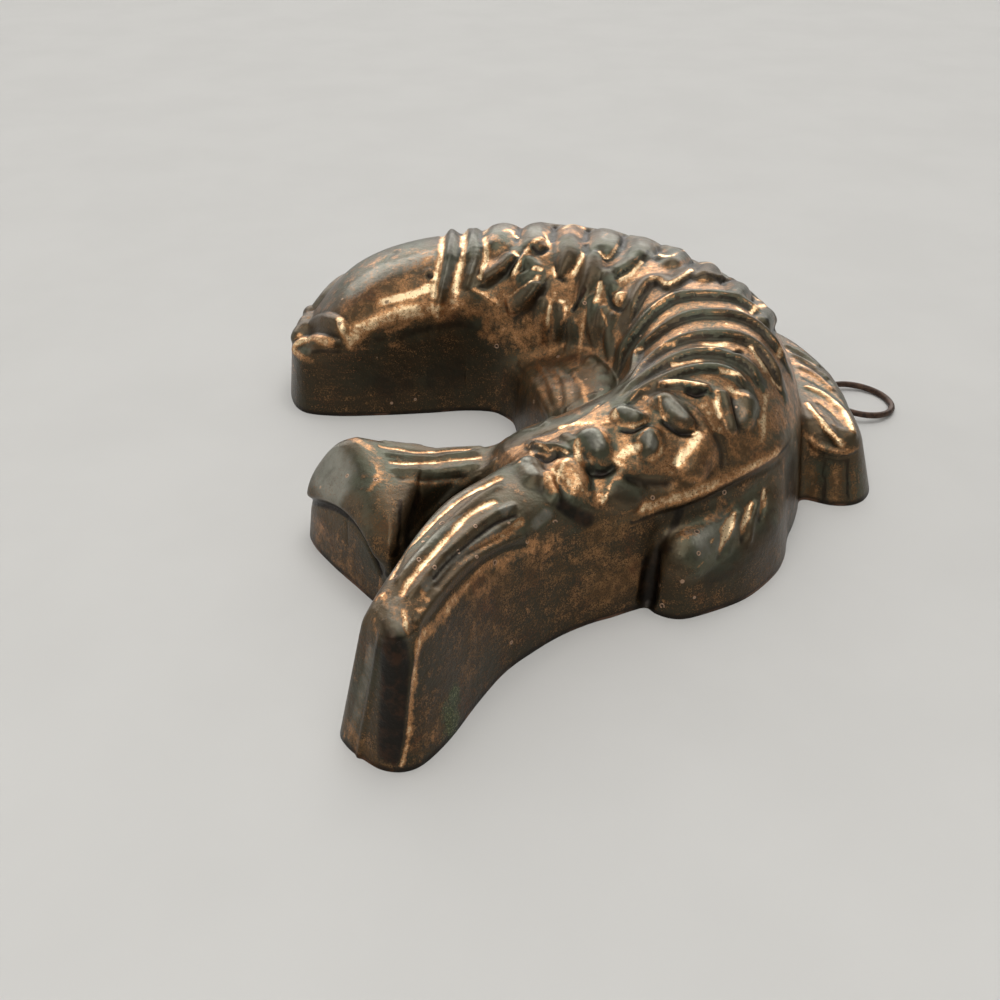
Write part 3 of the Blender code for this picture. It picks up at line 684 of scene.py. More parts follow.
def march(start, way, length):
    """First point where each ray meets the surface, or its nearest miss."""
    way = way / np.linalg.norm(way, axis=-1, keepdims=True)
    ts = np.arange(0, length, 0.5)
    found = np.full(len(start), -1.0)
    best = np.full(len(start), -1e9)
    best_t = np.zeros(len(start))
    for t in ts:
        P = start + way * t
        ok = ((P > ORIGIN) & (P < ORIGIN + (np.array(FIELD.shape[::-1]) - 1) * CELL)).all(-1)
        f = np.where(ok, sample(P), -1e9)
        better = (f > best) & (found < 0)
        best = np.where(better, f, best)
        best_t = np.where(better, t, best_t)
        found = np.where((found < 0) & (f > 0), t, found)
    t1 = np.where(found >= 0, found, best_t)
    t0 = t1 - 0.5
    for _ in range(7):
        mid = (t0 + t1) / 2
        f = sample(start + way * mid[:, None])
        t1 = np.where(f > 0, mid, t1)
        t0 = np.where(f > 0, t0, mid)
    t = np.where(found >= 0, t1, best_t)
    return start + way * t[:, None], found >= 0


def under_pixels(uv):
    """The surface points that the camera sees at the given pixels."""
    uv = np.asarray(uv, float)
    way = AHEAD + ((uv[:, :1] - 500) / FOCAL) * np.array([1.0, 0, 0]) + ((500 - uv[:, 1:]) / FOCAL) * ABOVE
    way = way / np.linalg.norm(way, axis=-1, keepdims=True)
    start = EYE + way * 140
    P, hit = march(start, way, 260)
    return settle(P, 2)


def depth(P):
    return (P - EYE) @ AHEAD


def in_sight(P):
    """Whether the camera sees the points."""
    n = -slope(P)
    n /= np.linalg.norm(n, axis=-1, keepdims=True) + 1e-9
    way = EYE - P
    far_off = np.linalg.norm(way, axis=-1, keepdims=True)
    way = way / far_off
    facing = (n * way).sum(-1) > 0.05
    start = P + n * 1.2
    blocked = np.zeros(len(P), bool)
    for t in np.arange(0, 130, 1.0):
        Q = start + way * t
        ok = ((Q > ORIGIN) & (Q < ORIGIN + (np.array(FIELD.shape[::-1]) - 1) * CELL)).all(-1)
        blocked |= ok & (sample(Q) > 0)
    return facing & ~blocked


def skin(field, x0, y0, z0, cell):
    """Quads of the surface where the field is zero, one vertex in each crossed cell."""
    inside = field > 0
    nz, ny, nx = field.shape
    count = np.zeros((nz - 1, ny - 1, nx - 1), np.int8)
    corners = [(a, b, c) for a in (0, 1) for b in (0, 1) for c in (0, 1)]
    for a, b, c in corners:
        count += inside[a:nz - 1 + a, b:ny - 1 + b, c:nx - 1 + c]
    iz, iy, ix = np.nonzero((count > 0) & (count < 8))
    number = np.full(count.shape, -1, np.int32)
    number[iz, iy, ix] = np.arange(len(iz))
    total = np.zeros((len(iz), 3))
    hits = np.zeros(len(iz))
    for a in corners:
        for axis in range(3):
            if a[axis]:
                continue
            b = list(a)
            b[axis] = 1
            fa = field[iz + a[0], iy + a[1], ix + a[2]]
            fb = field[iz + b[0], iy + b[1], ix + b[2]]
            cross = (fa > 0) != (fb > 0)
            t = np.where(cross, fa / np.where(cross, fa - fb, 1), 0)
            at = np.stack([a[2] + (b[2] - a[2]) * t, a[1] + (b[1] - a[1]) * t,
                           a[0] + (b[0] - a[0]) * t], 1)
            total += np.where(cross[:, None], at, 0)
            hits += cross
    total /= hits[:, None]
    verts = np.stack([x0 + (ix + total[:, 0]) * cell, y0 + (iy + total[:, 1]) * cell,
                      z0 + (iz + total[:, 2]) * cell], 1)
    quads = []
    for axis in range(3):
        low = [slice(None)] * 3
        high = [slice(None)] * 3
        low[axis] = slice(0, -1)
        high[axis] = slice(1, None)
        first = inside[tuple(low)]
        at = list(np.nonzero(first != inside[tuple(high)]))
        others = [k for k in range(3) if k != axis]
        ok = np.ones(len(at[0]), bool)
        for k in others:
            ok &= (at[k] > 0) & (at[k] < field.shape[k] - 1)
        at = [e[ok] for e in at]
        was_in = first[at[0], at[1], at[2]]
        ring = []
        for d0, d1 in ((0, 0), (1, 0), (1, 1), (0, 1)):
            cellno = [e.copy() for e in at]
            cellno[others[0]] -= d0
            cellno[others[1]] -= d1
            ring.append(number[cellno[0], cellno[1], cellno[2]])
        ring = np.stack(ring, 1)
        flip = ~was_in if axis != 1 else was_in
        quads.append(np.where(flip[:, None], ring, ring[:, ::-1]))
    return verts, np.concatenate(quads)


def relax(values, quads, rounds, keep=None):
    """Laplacian smoothing of positions or of a value per vertex."""
    flat = values.ndim == 1
    v = values[:, None] if flat else values
    n = len(v)
    a = np.concatenate([quads[:, k] for k in range(4)] + [quads[:, (k + 1) % 4] for k in range(4)])
    b = np.concatenate([quads[:, (k + 1) % 4] for k in range(4)] + [quads[:, k] for k in range(4)])
    degree = np.bincount(a, minlength=n).astype(float)
    for _ in range(rounds):
        mean = np.stack([np.bincount(a, weights=v[b, k], minlength=n) for k in range(v.shape[1])], 1)
        mean /= np.maximum(degree, 1)[:, None]
        v = v + 0.5 * (mean - v)
    return v[:, 0] if flat else v


# --- the shell's outer face ------------------------------------------------------
verts, quads = skin(FIELD, xs[0], ys[0], zs[0], CELL)
verts = settle(relax(verts, quads, 3), 3)
normal = -slope(verts, 0.7)
normal /= np.linalg.norm(normal, axis=1, keepdims=True) + 1e-9
SWELL = np.zeros(len(verts))
WEAR_SHADE_GLINT = np.zeros(len(verts))
WARM = np.zeros(len(verts))
PAINTED_SHEEN = np.zeros(len(verts))
RINGED = np.zeros(len(verts))


def ease(q, a, b):
    t = np.clip((q - a) / (b - a), 0, 1)
    return t * t * (3 - 2 * t)


def press(kind, line, radius, height, wear_shade_glint):
    """Presses one stroke of relief into the surface and gives it its finish."""
    pad = radius.max() * 1.3
    idx = np.nonzero(((verts > line.min(0) - pad) & (verts < line.max(0) + pad)).all(1))[0]
    if not len(idx):
        return
    P = verts[idx]
    n = len(line)
    best = np.full(len(idx), 1e9)
    nearest = np.zeros(len(idx))
    offset = P - line[0]
    way = np.zeros(P.shape)
    if n == 1:
        best = np.linalg.norm(offset, axis=1) / radius[0]
    for i in range(n - 1):
        e = line[i + 1] - line[i]
        t = np.clip(((P - line[i]) @ e) / (e @ e + 1e-9), 0, 1)
        off = P - line[i] - t[:, None] * e
        q = np.linalg.norm(off, axis=1) / (radius[i] + t * (radius[i + 1] - radius[i]))
        closer = q < best
        best = np.where(closer, q, best)
        nearest = np.where(closer, i + t, nearest)
        offset = np.where(closer[:, None], off, offset)
        way = np.where(closer[:, None], e, way)
    q = best
    height, wear_shade_glint = (np.interp(nearest, np.arange(n), v) for v in (height, wear_shade_glint))
    raised = 0
    if kind == "r":
        raised = height * np.maximum(1 - q * q, 0) ** 1.3
        m = 0.9 * (1 - ease(q, 0.2, 0.95))
    elif kind in "el":
        # a plate that rises to its free edge, then drops: the raised side is above the line
        side = (np.cross(normal[idx], way) * offset).sum(1)
        ends = np.minimum(ease(nearest, 0, 0.12 * n), 1 - ease(nearest, 0.88 * n - 1, n - 1))
        ends = 0.25 + 0.75 * ends
        across = np.where(side > 0, q, -q)
        low, top = (-0.24, 0.15) if kind == "e" else (-0.1, 0.03)
        raised = ends * height * np.where(across > top, 1 - ease(across, top, 1.05), ease(across, low, top))
        m = np.where(across > 0, 0.8 * ease(across, 0.02, 0.14) * (1 - ease(across, 0.45, 0.9)),
                     1 - ease(-across, 0.12, 0.34))
        # painted shadow: the side below the free edge gets a very low wear value, which the material paints near
        # black
        wear_shade_glint = np.where(across > 0, wear_shade_glint, -0.86)
    elif kind == "g":
        SWELL[idx] += height * np.maximum(1 - q * q, 0) ** 1.5
    if kind in "rel":
        SWELL[idx] = (SWELL[idx] ** 4 + np.maximum(raised, 0) ** 4) ** 0.25
    elif kind in "wso":
        target = {"w": WARM, "s": PAINTED_SHEEN, "o": RINGED}[kind]
        target[idx] = np.maximum(target[idx], wear_shade_glint * (1 - ease(q, 0.35, 1.15)))
        return
    else:
        m = 1 - ease(q, 0.3, 1.25)
    WEAR_SHADE_GLINT[idx] = WEAR_SHADE_GLINT[idx] * (1 - m) + wear_shade_glint * m


def stroke(kind, line, radius, height, wear_shade_glint):
    if len(line) > 1:
        fine = smooth_curve(np.column_stack([line, radius, height, wear_shade_glint]), 4, False)
        line, radius, height, wear_shade_glint = fine[:, :3], fine[:, 3], fine[:, 4], fine[:, 5]
    press(kind, line, radius, height, wear_shade_glint)


# the ground: walls carry a thin warm speckle, the hollows between scales some wear
upright = 1 - np.abs(normal[:, 2])
WARM += 0.22 * ease(upright, 0.3, 0.8)
on_top = ease(normal[:, 2], 0.12, 0.5) * ease(verts[:, 2], 17, 24)
column = np.clip(((verts[:, :2] - ORIGIN[:2]) / CELL).round().astype(int), 0, [len(xs) - 1, len(ys) - 1])
in_trunk = ease(trunk[column[:, 1], column[:, 0]], 0, 4)
scaled = in_trunk * ease(crest[1][column[:, 1], column[:, 0]], 0.22, 0.25)
# steepness of the walls; the material uses it to paint them darker as shade
STEEP = ease(upright, 0.6, 0.95)
WEAR_SHADE_GLINT += on_top * (0.05 + 0.16 * in_trunk + 0.29 * scaled)

strokes = []
for row in RELIEF.strip().splitlines():
    head, path = row.split("  ")
    kind, *numbers = head.split()
    points = [tuple(float(c) for c in p.split(",")) for p in path.split()]
    at = np.linspace(0, 1, len(points))
    width, height, wear_shade_glint = [np.interp(at, np.linspace(0, 1, len(v)), v) if len(v) > 1 else np.full(len(points), v[0])
                           for v in [[float(c) for c in n.split(">")] for n in numbers]]
    strokes.append((kind, width, height, wear_shade_glint, points))
every = under_pixels([p for s in strokes for p in s[4]])
first = 0
traced = []
for kind, width, height, wear_shade_glint, points in strokes:
    line = every[first:first + len(points)]
    first += len(points)
    radius = width / (1 if kind in "el" else 2) * depth(line) / FOCAL
    traced.append((kind, line, radius, height, wear_shade_glint))

# the side that the camera can't see: the same lips, eye and hoops, and rows of scales
spine = smooth_curve(TRUNK_CREST, 10, False)[:, :2]
run = np.concatenate([[0], np.cumsum(np.hypot(*np.diff(spine, axis=0).T))])


def on_trunk(s, t):
    """A point on top of the trunk: s mm along the crest line, t mm to its left."""
    x, y = np.interp(s, run, spine[:, 0]), np.interp(s, run, spine[:, 1])
    x2, y2 = np.interp(s + 0.5, run, spine[:, 0]), np.interp(s + 0.5, run, spine[:, 1])
    way = np.array([x2 - x, y2 - y])
    way /= np.linalg.norm(way) + 1e-9
    return (x - way[1] * t, y + way[0] * t)


hidden = []
for i, s in enumerate(np.arange(64, run[-1] - 6, 7.6)):
    for j, t in enumerate((3.5, 10.5, 17.5, -4.0, -11.0)):
        s0 = s + (3.8 if j % 2 else 0)
        side = 1 if t > 0 else -1
        hidden.append([on_trunk(s0 + a, t + side * b) for a, b in ((-2.2, -0.5), (0.6, 0), (3.6, 0.6))])
flat = np.array([p for h in hidden for p in h])
tops, hit = march(np.column_stack([flat, np.full(len(flat), 50.0)]), np.tile([0, 0, -1.0], (len(flat), 1)), 50)
tops = settle(tops, 2)
seen = in_sight(tops)
for k in range(len(hidden)):
    if seen[3 * k:3 * k + 3].any() or tops[3 * k:3 * k + 3, 2].min() < 20:
        continue
    line = tops[3 * k:3 * k + 3]
    press("g", line, np.array([4.3, 4.3, 3.4]), np.full(3, -0.35), np.full(3, 0.6))
for k in range(len(hidden)):
    if seen[3 * k:3 * k + 3].any() or tops[3 * k:3 * k + 3, 2].min() < 20:
        continue
    stroke("r", tops[3 * k:3 * k + 3], np.array([3.6, 3.8, 1.8]), np.full(3, 1.9), np.full(3, -0.65))

for order in ("rel", "gpwso"):
    for kind, line, radius, height, wear_shade_glint in traced:
        if kind.lower() not in order:
            continue
        stroke(kind.lower(), line, radius, height, wear_shade_glint)
        if kind.isupper():
            middle = np.interp(line[:, 0], spine[:60, 0], spine[:60, 1])
            other = line.copy()
            other[:, 1] = 2 * middle - line[:, 1]
            stroke(kind.lower(), settle(other, 6), radius, height, wear_shade_glint)

SWELL = relax(SWELL, quads, 3)
# dirt and painted shade: how far each place sinks below the smoothed relief, less where it is worn bright; the
# material darkens these hollows and takes copper out of them
HOLLOW_SHADE_DIRT = ease(relax(SWELL, quads, 40) - SWELL, 0.05, 0.5) * (1 - ease(WEAR_SHADE_GLINT, 0.35, 0.75))
verts = verts + normal * SWELL[:, None]
print("relief", float(SWELL.min()), float(SWELL.max()), "vertices", len(verts))


# --- meshes ------------------------------------------------------------------------
def new_object(name, mesh):
    ob = bpy.data.objects.new(name, mesh)
    bpy.context.scene.collection.objects.link(ob)
    return ob


def made_real(ob):
    """The object's mesh with its modifiers applied."""
    bpy.context.view_layer.update()
    mesh = bpy.data.meshes.new_from_object(ob.evaluated_get(bpy.context.evaluated_depsgraph_get()))
    ob.modifiers.clear()
    ob.data = mesh
    return mesh


mesh = bpy.data.meshes.new("shell")
world = (verts + SHIFT) * MM
mesh.vertices.add(len(world))
mesh.vertices.foreach_set("co", world.astype(np.float32).ravel())
mesh.loops.add(len(quads) * 4)
mesh.loops.foreach_set("vertex_index", quads.astype(np.int32).ravel())
mesh.polygons.add(len(quads))
mesh.polygons.foreach_set("loop_start", np.arange(0, len(quads) * 4, 4, dtype=np.int32))
mesh.update(calc_edges=True)
for name, values in (("wear_shade_glint", WEAR_SHADE_GLINT), ("warm", WARM), ("steep", STEEP), ("hollow_shade_dirt", HOLLOW_SHADE_DIRT), ("pale", PAINTED_SHEEN),
                     ("ringed", RINGED)):
    layer = mesh.attributes.new(name, "FLOAT", "POINT")
    layer.data.foreach_set("value", values.astype(np.float32))
bm = bmesh.new()
bm.from_mesh(mesh)
bmesh.ops.bisect_plane(bm, geom=bm.verts[:] + bm.edges[:] + bm.faces[:], dist=1e-6,
                       plane_co=(0, 0, 0.00002), plane_no=(0, 0, 1), clear_inner=True)
bmesh.ops.recalc_face_normals(bm, faces=bm.faces[:])
if max(bm.faces, key=lambda f: f.calc_center_median().z).normal.z < 0:
    bmesh.ops.reverse_faces(bm, faces=bm.faces[:])
bm.to_mesh(mesh)
bm.free()
shell = new_object("shell_skin", mesh)
thin = shell.modifiers.new("thin", "DECIMATE")
thin.ratio = 0.4
made_real(shell)
for k in range(3):      # outside, lining, rim: the sheet's faces are told apart by slot
    shell.data.materials.append(None)
wall = shell.modifiers.new("sheet", "SOLIDIFY")
wall.thickness = SHEET * MM
wall.offset = -1
wall.use_rim = True
wall.material_offset = 1
wall.material_offset_rim = 2
mesh = made_real(shell)
co = np.empty(len(mesh.vertices) * 3, np.float32)
mesh.vertices.foreach_get("co", co)
co = co.reshape(-1, 3)
co[:, 2] = np.maximum(co[:, 2], 0.00002)
mesh.vertices.foreach_set("co", co.ravel())
mesh.shade_smooth()
mesh.set_sharp_from_angle(angle=math.radians(62))
print("shell", len(mesh.vertices), "vertices", len(mesh.polygons), "faces")


# --- materials -----------------------------------------------------------------------
def linear(r, g, b):
    """A colour given as it looks on screen, 0 to 255, in linear light."""
    return tuple(((c / 255 + 0.055) / 1.055) ** 2.4 if c > 10 else c / 255 / 12.92 for c in (r, g, b)) + (1,)


class Finish:
    """A material under construction, measured in millimetres on the object."""

    def __init__(self, name):
        self.mat = bpy.data.materials.new(name)
        self.mat.use_nodes = True
        self.tree = self.mat.node_tree
        self.shader = self.tree.nodes["Principled BSDF"]
        coords = self.tree.nodes.new("ShaderNodeTexCoord").outputs["Object"]
        grow = self.tree.nodes.new("ShaderNodeVectorMath")
        grow.operation = "SCALE"
        grow.inputs["Scale"].default_value = 1000
        self.tree.links.new(coords, grow.inputs[0])
        self.at = grow.outputs[0]

    def put(self, socket, value):
        if isinstance(value, bpy.types.NodeSocket):
            self.tree.links.new(value, socket)
        else:
            socket.default_value = value

    def noise(self, scale, detail=4.0, rough=0.55, twist=0.0, at=None):
        n = self.tree.nodes.new("ShaderNodeTexNoise")
        n.inputs["Scale"].default_value = scale
        n.inputs["Detail"].default_value = detail
        n.inputs["Roughness"].default_value = rough
        n.inputs["Distortion"].default_value = twist
        self.tree.links.new(at or self.at, n.inputs["Vector"])
        return n.outputs["Fac"]

    def cells(self, scale, feature="F1"):
        n = self.tree.nodes.new("ShaderNodeTexVoronoi")
        n.feature = feature
        n.inputs["Scale"].default_value = scale
        self.tree.links.new(self.at, n.inputs["Vector"])
        return n.outputs

    def value(self, name):
        n = self.tree.nodes.new("ShaderNodeAttribute")
        n.attribute_name = name
        return n.outputs["Fac"]

    def height(self):
        n = self.tree.nodes.new("ShaderNodeSeparateXYZ")
        self.tree.links.new(self.at, n.inputs[0])
        return n.outputs["Z"]

    def spot(self, place, radius, tall):
        """1 at a place on the object, 0 at the radius, stretched upwards."""
        v = self.at
        for operation, by in (("SUBTRACT", place), ("MULTIPLY", (1 / radius, 1 / radius, 1 / radius / tall))):
            n = self.tree.nodes.new("ShaderNodeVectorMath")
            n.operation = operation
            self.tree.links.new(v, n.inputs[0])
            n.inputs[1].default_value = by
            v = n.outputs[0]
        n = self.tree.nodes.new("ShaderNodeVectorMath")
        n.operation = "LENGTH"
        self.tree.links.new(v, n.inputs[0])
        return self.sum("SUBTRACT", 1.0, n.outputs["Value"])

    def stretched(self, x, y, z):
        n = self.tree.nodes.new("ShaderNodeMapping")
        n.inputs["Scale"].default_value = (x, y, z)
        self.tree.links.new(self.at, n.inputs["Vector"])
        return n.outputs[0]

    def sum(self, op, a, b=0.0, c=0.0):
        n = self.tree.nodes.new("ShaderNodeMath")
        n.operation = op
        for socket, v in zip(n.inputs, (a, b, c)):
            self.put(socket, v)
        return n.outputs[0]

    def step(self, v, low, high, to_low=0.0, to_high=1.0):
        n = self.tree.nodes.new("ShaderNodeMapRange")
        n.interpolation_type = "SMOOTHSTEP"
        for socket, x in zip(n.inputs, (v, low, high, to_low, to_high)):
            self.put(socket, x)
        return n.outputs[0]

    def mix(self, fac, a, b):
        n = self.tree.nodes.new("ShaderNodeMix")
        n.data_type = "RGBA"
        self.put(n.inputs[0], fac)
        self.put(n.inputs[6], a)
        self.put(n.inputs[7], b)
        return n.outputs[2]

    def bump(self, height, reach, strength=1.0, under=None):
        n = self.tree.nodes.new("ShaderNodeBump")
        n.inputs["Strength"].default_value = strength
        n.inputs["Distance"].default_value = reach * MM
        self.tree.links.new(height, n.inputs["Height"])
        if under is not None:
            self.tree.links.new(under, n.inputs["Normal"])
        return n.outputs[0]


def patinated(name, wear_shade_glint=None, warm=None, dark=0.0):
    """Old copper: dark patina, brown speckle, and bright metal where it is rubbed; painted shade darkens the
    hollows, the plates' undersides, the steep walls and their foot, and painted sheen and highlights lighten the
    tops.
    """
    f = Finish(name)
    wear_shade_glint = f.value("wear_shade_glint") if wear_shade_glint is None else wear_shade_glint
    warm = f.value("warm") if warm is None else warm
    big = f.noise(0.07, 3)
    cloud = f.noise(0.33, 5, 0.6)
    grain = f.noise(1.5, 5, 0.65)
    fine = f.noise(4.2, 3, 0.6)
    dots = f.noise(1.15, 2.5, 0.55)
    streak = f.noise(0.8, 4, 0.6, at=f.stretched(0.22, 0.22, 1.1))
    mesh = f.noise(2.7, 3, 0.65)
    # patina: olive grey to brown, darker in blotches
    patina = f.mix(f.step(big, 0.36, 0.6), linear(82, 83, 66), linear(86, 72, 52))
    patina = f.mix(f.step(cloud, 0.42, 0.72, 0, 0.7), patina, linear(50, 40, 25))
    # painted shade: the steep walls are darkened towards dark brown
    steep = f.value("steep")
    patina = f.mix(f.sum("MULTIPLY", steep, 0.9), patina, linear(44, 35, 20))
    # painted sheen: where the pale strokes lie, the patina is lightened to a light grey as if light glanced off it
    pale = f.sum("MULTIPLY_ADD", f.sum("SUBTRACT", cloud, 0.5), 0.9, f.value("pale"))
    patina = f.mix(f.step(pale, 0.15, 1.0), patina, linear(140, 138, 126))
    # brown speckle
    w = f.sum("MULTIPLY_ADD", f.sum("SUBTRACT", big, 0.5), 0.5, f.sum("MULTIPLY", f.sum("MINIMUM", warm, 0.74), 0.5))
    w = f.sum("MULTIPLY_ADD", f.sum("SUBTRACT", streak, 0.5), 0.5, w)
    w = f.sum("MULTIPLY_ADD", f.sum("SUBTRACT", mesh, 0.5), 1.7, w)
    speck = f.sum("MULTIPLY", f.step(w, 0.14, 0.42), f.step(wear_shade_glint, -0.8, -0.35, 0.25, 1))
    brown = f.mix(f.step(cloud, 0.38, 0.62), linear(98, 73, 46), linear(144, 107, 70))
    brown = f.mix(f.step(f.noise(0.11, 3, 0.5, 0.6), 0.52, 0.7, 0, 0.5), brown, linear(112, 64, 42))
    grit = f.step(f.noise(3.3, 2, 0.5), 0.5, 0.6, 0.9, 0.35)
    colour = f.mix(f.sum("MULTIPLY", speck, grit), patina, brown)
    # painted shade: near black where the strokes set the lowest values, under plate edges, in dark grooves and on
    # faces turned from the light
    shade_level = f.sum("MULTIPLY_ADD", f.sum("SUBTRACT", cloud, 0.5), 0.4, wear_shade_glint)
    shade_colour = f.mix(f.step(cloud, 0.44, 0.66), linear(20, 15, 9), linear(54, 34, 20))
    colour = f.mix(f.step(shade_level, -0.45, -1.05, 0, 0.94), colour, shade_colour)
    # rubbed copper; its brightest, pale gold level is painted highlight
    a = f.sum("MULTIPLY_ADD", f.sum("SUBTRACT", cloud, 0.5), 1.6, wear_shade_glint)
    a = f.sum("MULTIPLY_ADD", f.sum("SUBTRACT", dots, 0.5), 0.8, a)
    a = f.sum("MULTIPLY_ADD", f.sum("SUBTRACT", fine, 0.5), 0.65, a)
    a = f.sum("SUBTRACT", a, f.sum("MULTIPLY", f.value("hollow_shade_dirt"), 0.4))
    copper = f.sum("MULTIPLY", f.step(a, 0.1, 0.75), f.step(mesh, 0.38, 0.52, 0.5, 1))
    bright = f.step(a, 0.64, 1.2)
    colour = f.mix(copper, colour, linear(187, 137, 93))
    colour = f.mix(bright, colour, linear(255, 224, 177))
    # dirt and painted shade in the hollows, a painted shadow along the walls' foot, green salts
    colour = f.mix(f.sum("MULTIPLY", f.value("hollow_shade_dirt"), 0.7), colour, linear(24, 18, 12))
    # painted shadow: the lowest 1.7 mm of the walls is darkened towards black, as the contact shadow at the foot
    high = f.height()
    colour = f.mix(f.step(high, 1.7, 0.5, 0, 0.85), colour, linear(24, 18, 12))
    rim = f.sum("MULTIPLY", f.step(high, 0.8, 0.45), f.step(f.noise(0.07, 3), 0.5, 0.62, 0, 0.7))
    colour = f.mix(rim, colour, linear(118, 86, 66))
    places = [tuple(float(c) for c in p) for p in under_pixels([(450, 718), (454, 697)]) + SHIFT]
    salts = f.sum("MAXIMUM", f.spot(places[0], 4.6, 1.5), f.spot(places[1], 3.4, 1.4))
    salts = f.sum("MULTIPLY_ADD", f.sum("SUBTRACT", cloud, 0.5), 1.4, salts)
    salts = f.sum("MULTIPLY_ADD", f.sum("SUBTRACT", fine, 0.5), 1.6, salts)
    green = f.mix(f.step(mesh, 0.52, 0.64), linear(50, 62, 34), linear(132, 140, 102))
    colour = f.mix(f.step(salts, 0.3, 0.55, 0, 0.85), colour, green)
    # small tarnish rings
    cell = f.cells(0.3)
    chosen = f.tree.nodes.new("ShaderNodeSeparateColor")
    f.tree.links.new(cell["Color"], chosen.inputs[0])
    rare = f.sum("MULTIPLY_ADD", f.value("ringed"), -0.5, f.sum("MULTIPLY_ADD", steep, 0.06, 0.9))
    few = f.sum("GREATER_THAN", chosen.outputs[0], rare)
    size = f.sum("MULTIPLY_ADD", chosen.outputs[1], 0.1, 0.09)
    off = f.sum("ABSOLUTE", f.sum("SUBTRACT", cell["Distance"], size))
    ring = f.sum("MULTIPLY", few, f.step(off, 0.03, 0.06, 1, 0))
    inside = f.sum("MULTIPLY", few, f.step(cell["Distance"], size, f.sum("SUBTRACT", size, 0.03), 0, 1))
    ring = f.sum("MULTIPLY", ring, f.step(shade_level, -0.9, -0.4))
    colour = f.mix(f.sum("MULTIPLY", ring, 0.75), colour, linear(196, 160, 132))
    colour = f.mix(f.sum("MULTIPLY", inside, 0.55), colour, linear(38, 32, 26))
    # fine dark pits in the bright metal
    pit = f.cells(1.3)["Distance"]
    pits = f.sum("MULTIPLY", f.step(pit, 0.3, 0.16), f.step(copper, 0, 0.6, 0.15, 1))
    colour = f.mix(f.sum("MULTIPLY", pits, 0.6), colour, linear(46, 34, 24))
    f.put(f.shader.inputs["Base Color"], colour)
    metal = f.step(copper, 0, 1, 0.7, 1.0)
    metal = f.sum("MULTIPLY_ADD", speck, 0.1, metal)
    f.put(f.shader.inputs["Metallic"], f.sum("MINIMUM", metal, 1.0))
    rough = f.sum("MULTIPLY_ADD", grain, 0.2, f.step(copper, 0, 1, 0.26, 0.2))
    rough = f.sum("MULTIPLY_ADD", speck, 0.1, rough)
    f.put(f.shader.inputs["Roughness"], rough)
    f.shader.inputs["Specular IOR Level"].default_value = 0.55
    normal = f.bump(cloud, 0.22)
    normal = f.bump(grain, 0.07, under=normal)
    normal = f.bump(f.sum("SUBTRACT", ring, inside), 0.1, under=normal)
    f.put(f.shader.inputs["Normal"], normal)
    return f.mat


def tinned(name):
    """The tin lining: dull grey with darker stains and brown where it is worn."""
    f = Finish(name)
    cloud = f.noise(0.12, 5, 0.6)
    grain = f.noise(0.9, 5, 0.6)
    fine = f.noise(3.5, 3)
    colour = f.mix(f.step(cloud, 0.35, 0.7), linear(150, 146, 138), linear(108, 103, 95))
    colour = f.mix(f.step(grain, 0.55, 0.72, 0, 0.6), colour, linear(84, 74, 62))
    colour = f.mix(f.step(f.sum("ADD", cloud, fine), 1.16, 1.3, 0, 0.7), colour, linear(128, 86, 58))
    f.put(f.shader.inputs["Base Color"], colour)
    f.shader.inputs["Metallic"].default_value = 0.75
    f.put(f.shader.inputs["Roughness"], f.step(grain, 0.3, 0.7, 0.34, 0.55))
    n = f.bump(cloud, 0.4)
    f.put(f.shader.inputs["Normal"], f.bump(grain, 0.08, under=n))
    return f.mat


def plain_copper(name, dark, light, rough):
    """Old copper or wire, brown with rubbed spots."""
    f = Finish(name)
    cloud = f.noise(0.8, 4)
    grain = f.noise(3.0, 5, 0.65)
    colour = f.mix(f.step(cloud, 0.35, 0.65), linear(*dark), linear(*light))
    colour = f.mix(f.step(grain, 0.58, 0.72, 0, 0.6), colour, linear(158, 108, 76))
    f.put(f.shader.inputs["Base Color"], colour)
    f.shader.inputs["Metallic"].default_value = 0.7
    f.put(f.shader.inputs["Roughness"], f.step(grain, 0.3, 0.7, rough, rough + 0.2))
    f.put(f.shader.inputs["Normal"], f.bump(grain, 0.08, under=f.bump(cloud, 0.1)))
    return f.mat


def soft_solder(name):
    f = Finish(name)
    cloud = f.noise(0.5, 4)
    grain = f.noise(2.2, 5, 0.65)
    colour = f.mix(f.step(cloud, 0.35, 0.65), linear(118, 114, 106), linear(88, 82, 74))
    colour = f.mix(f.step(grain, 0.55, 0.7, 0, 0.7), colour, linear(70, 60, 50))
    f.put(f.shader.inputs["Base Color"], colour)
    f.shader.inputs["Metallic"].default_value = 0.75
    f.put(f.shader.inputs["Roughness"], f.step(grain, 0.3, 0.7, 0.38, 0.6))
    f.put(f.shader.inputs["Normal"], f.bump(grain, 0.12, under=f.bump(cloud, 0.25)))
    return f.mat


OUTSIDE = patinated("patinated_copper")
for k, m in enumerate((OUTSIDE, tinned("tin_lining"),
                       plain_copper("rim_copper", (64, 50, 40), (92, 68, 50), 0.4))):
    shell.data.materials[k] = m
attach(shell, "mould")
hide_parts("mould_shell")

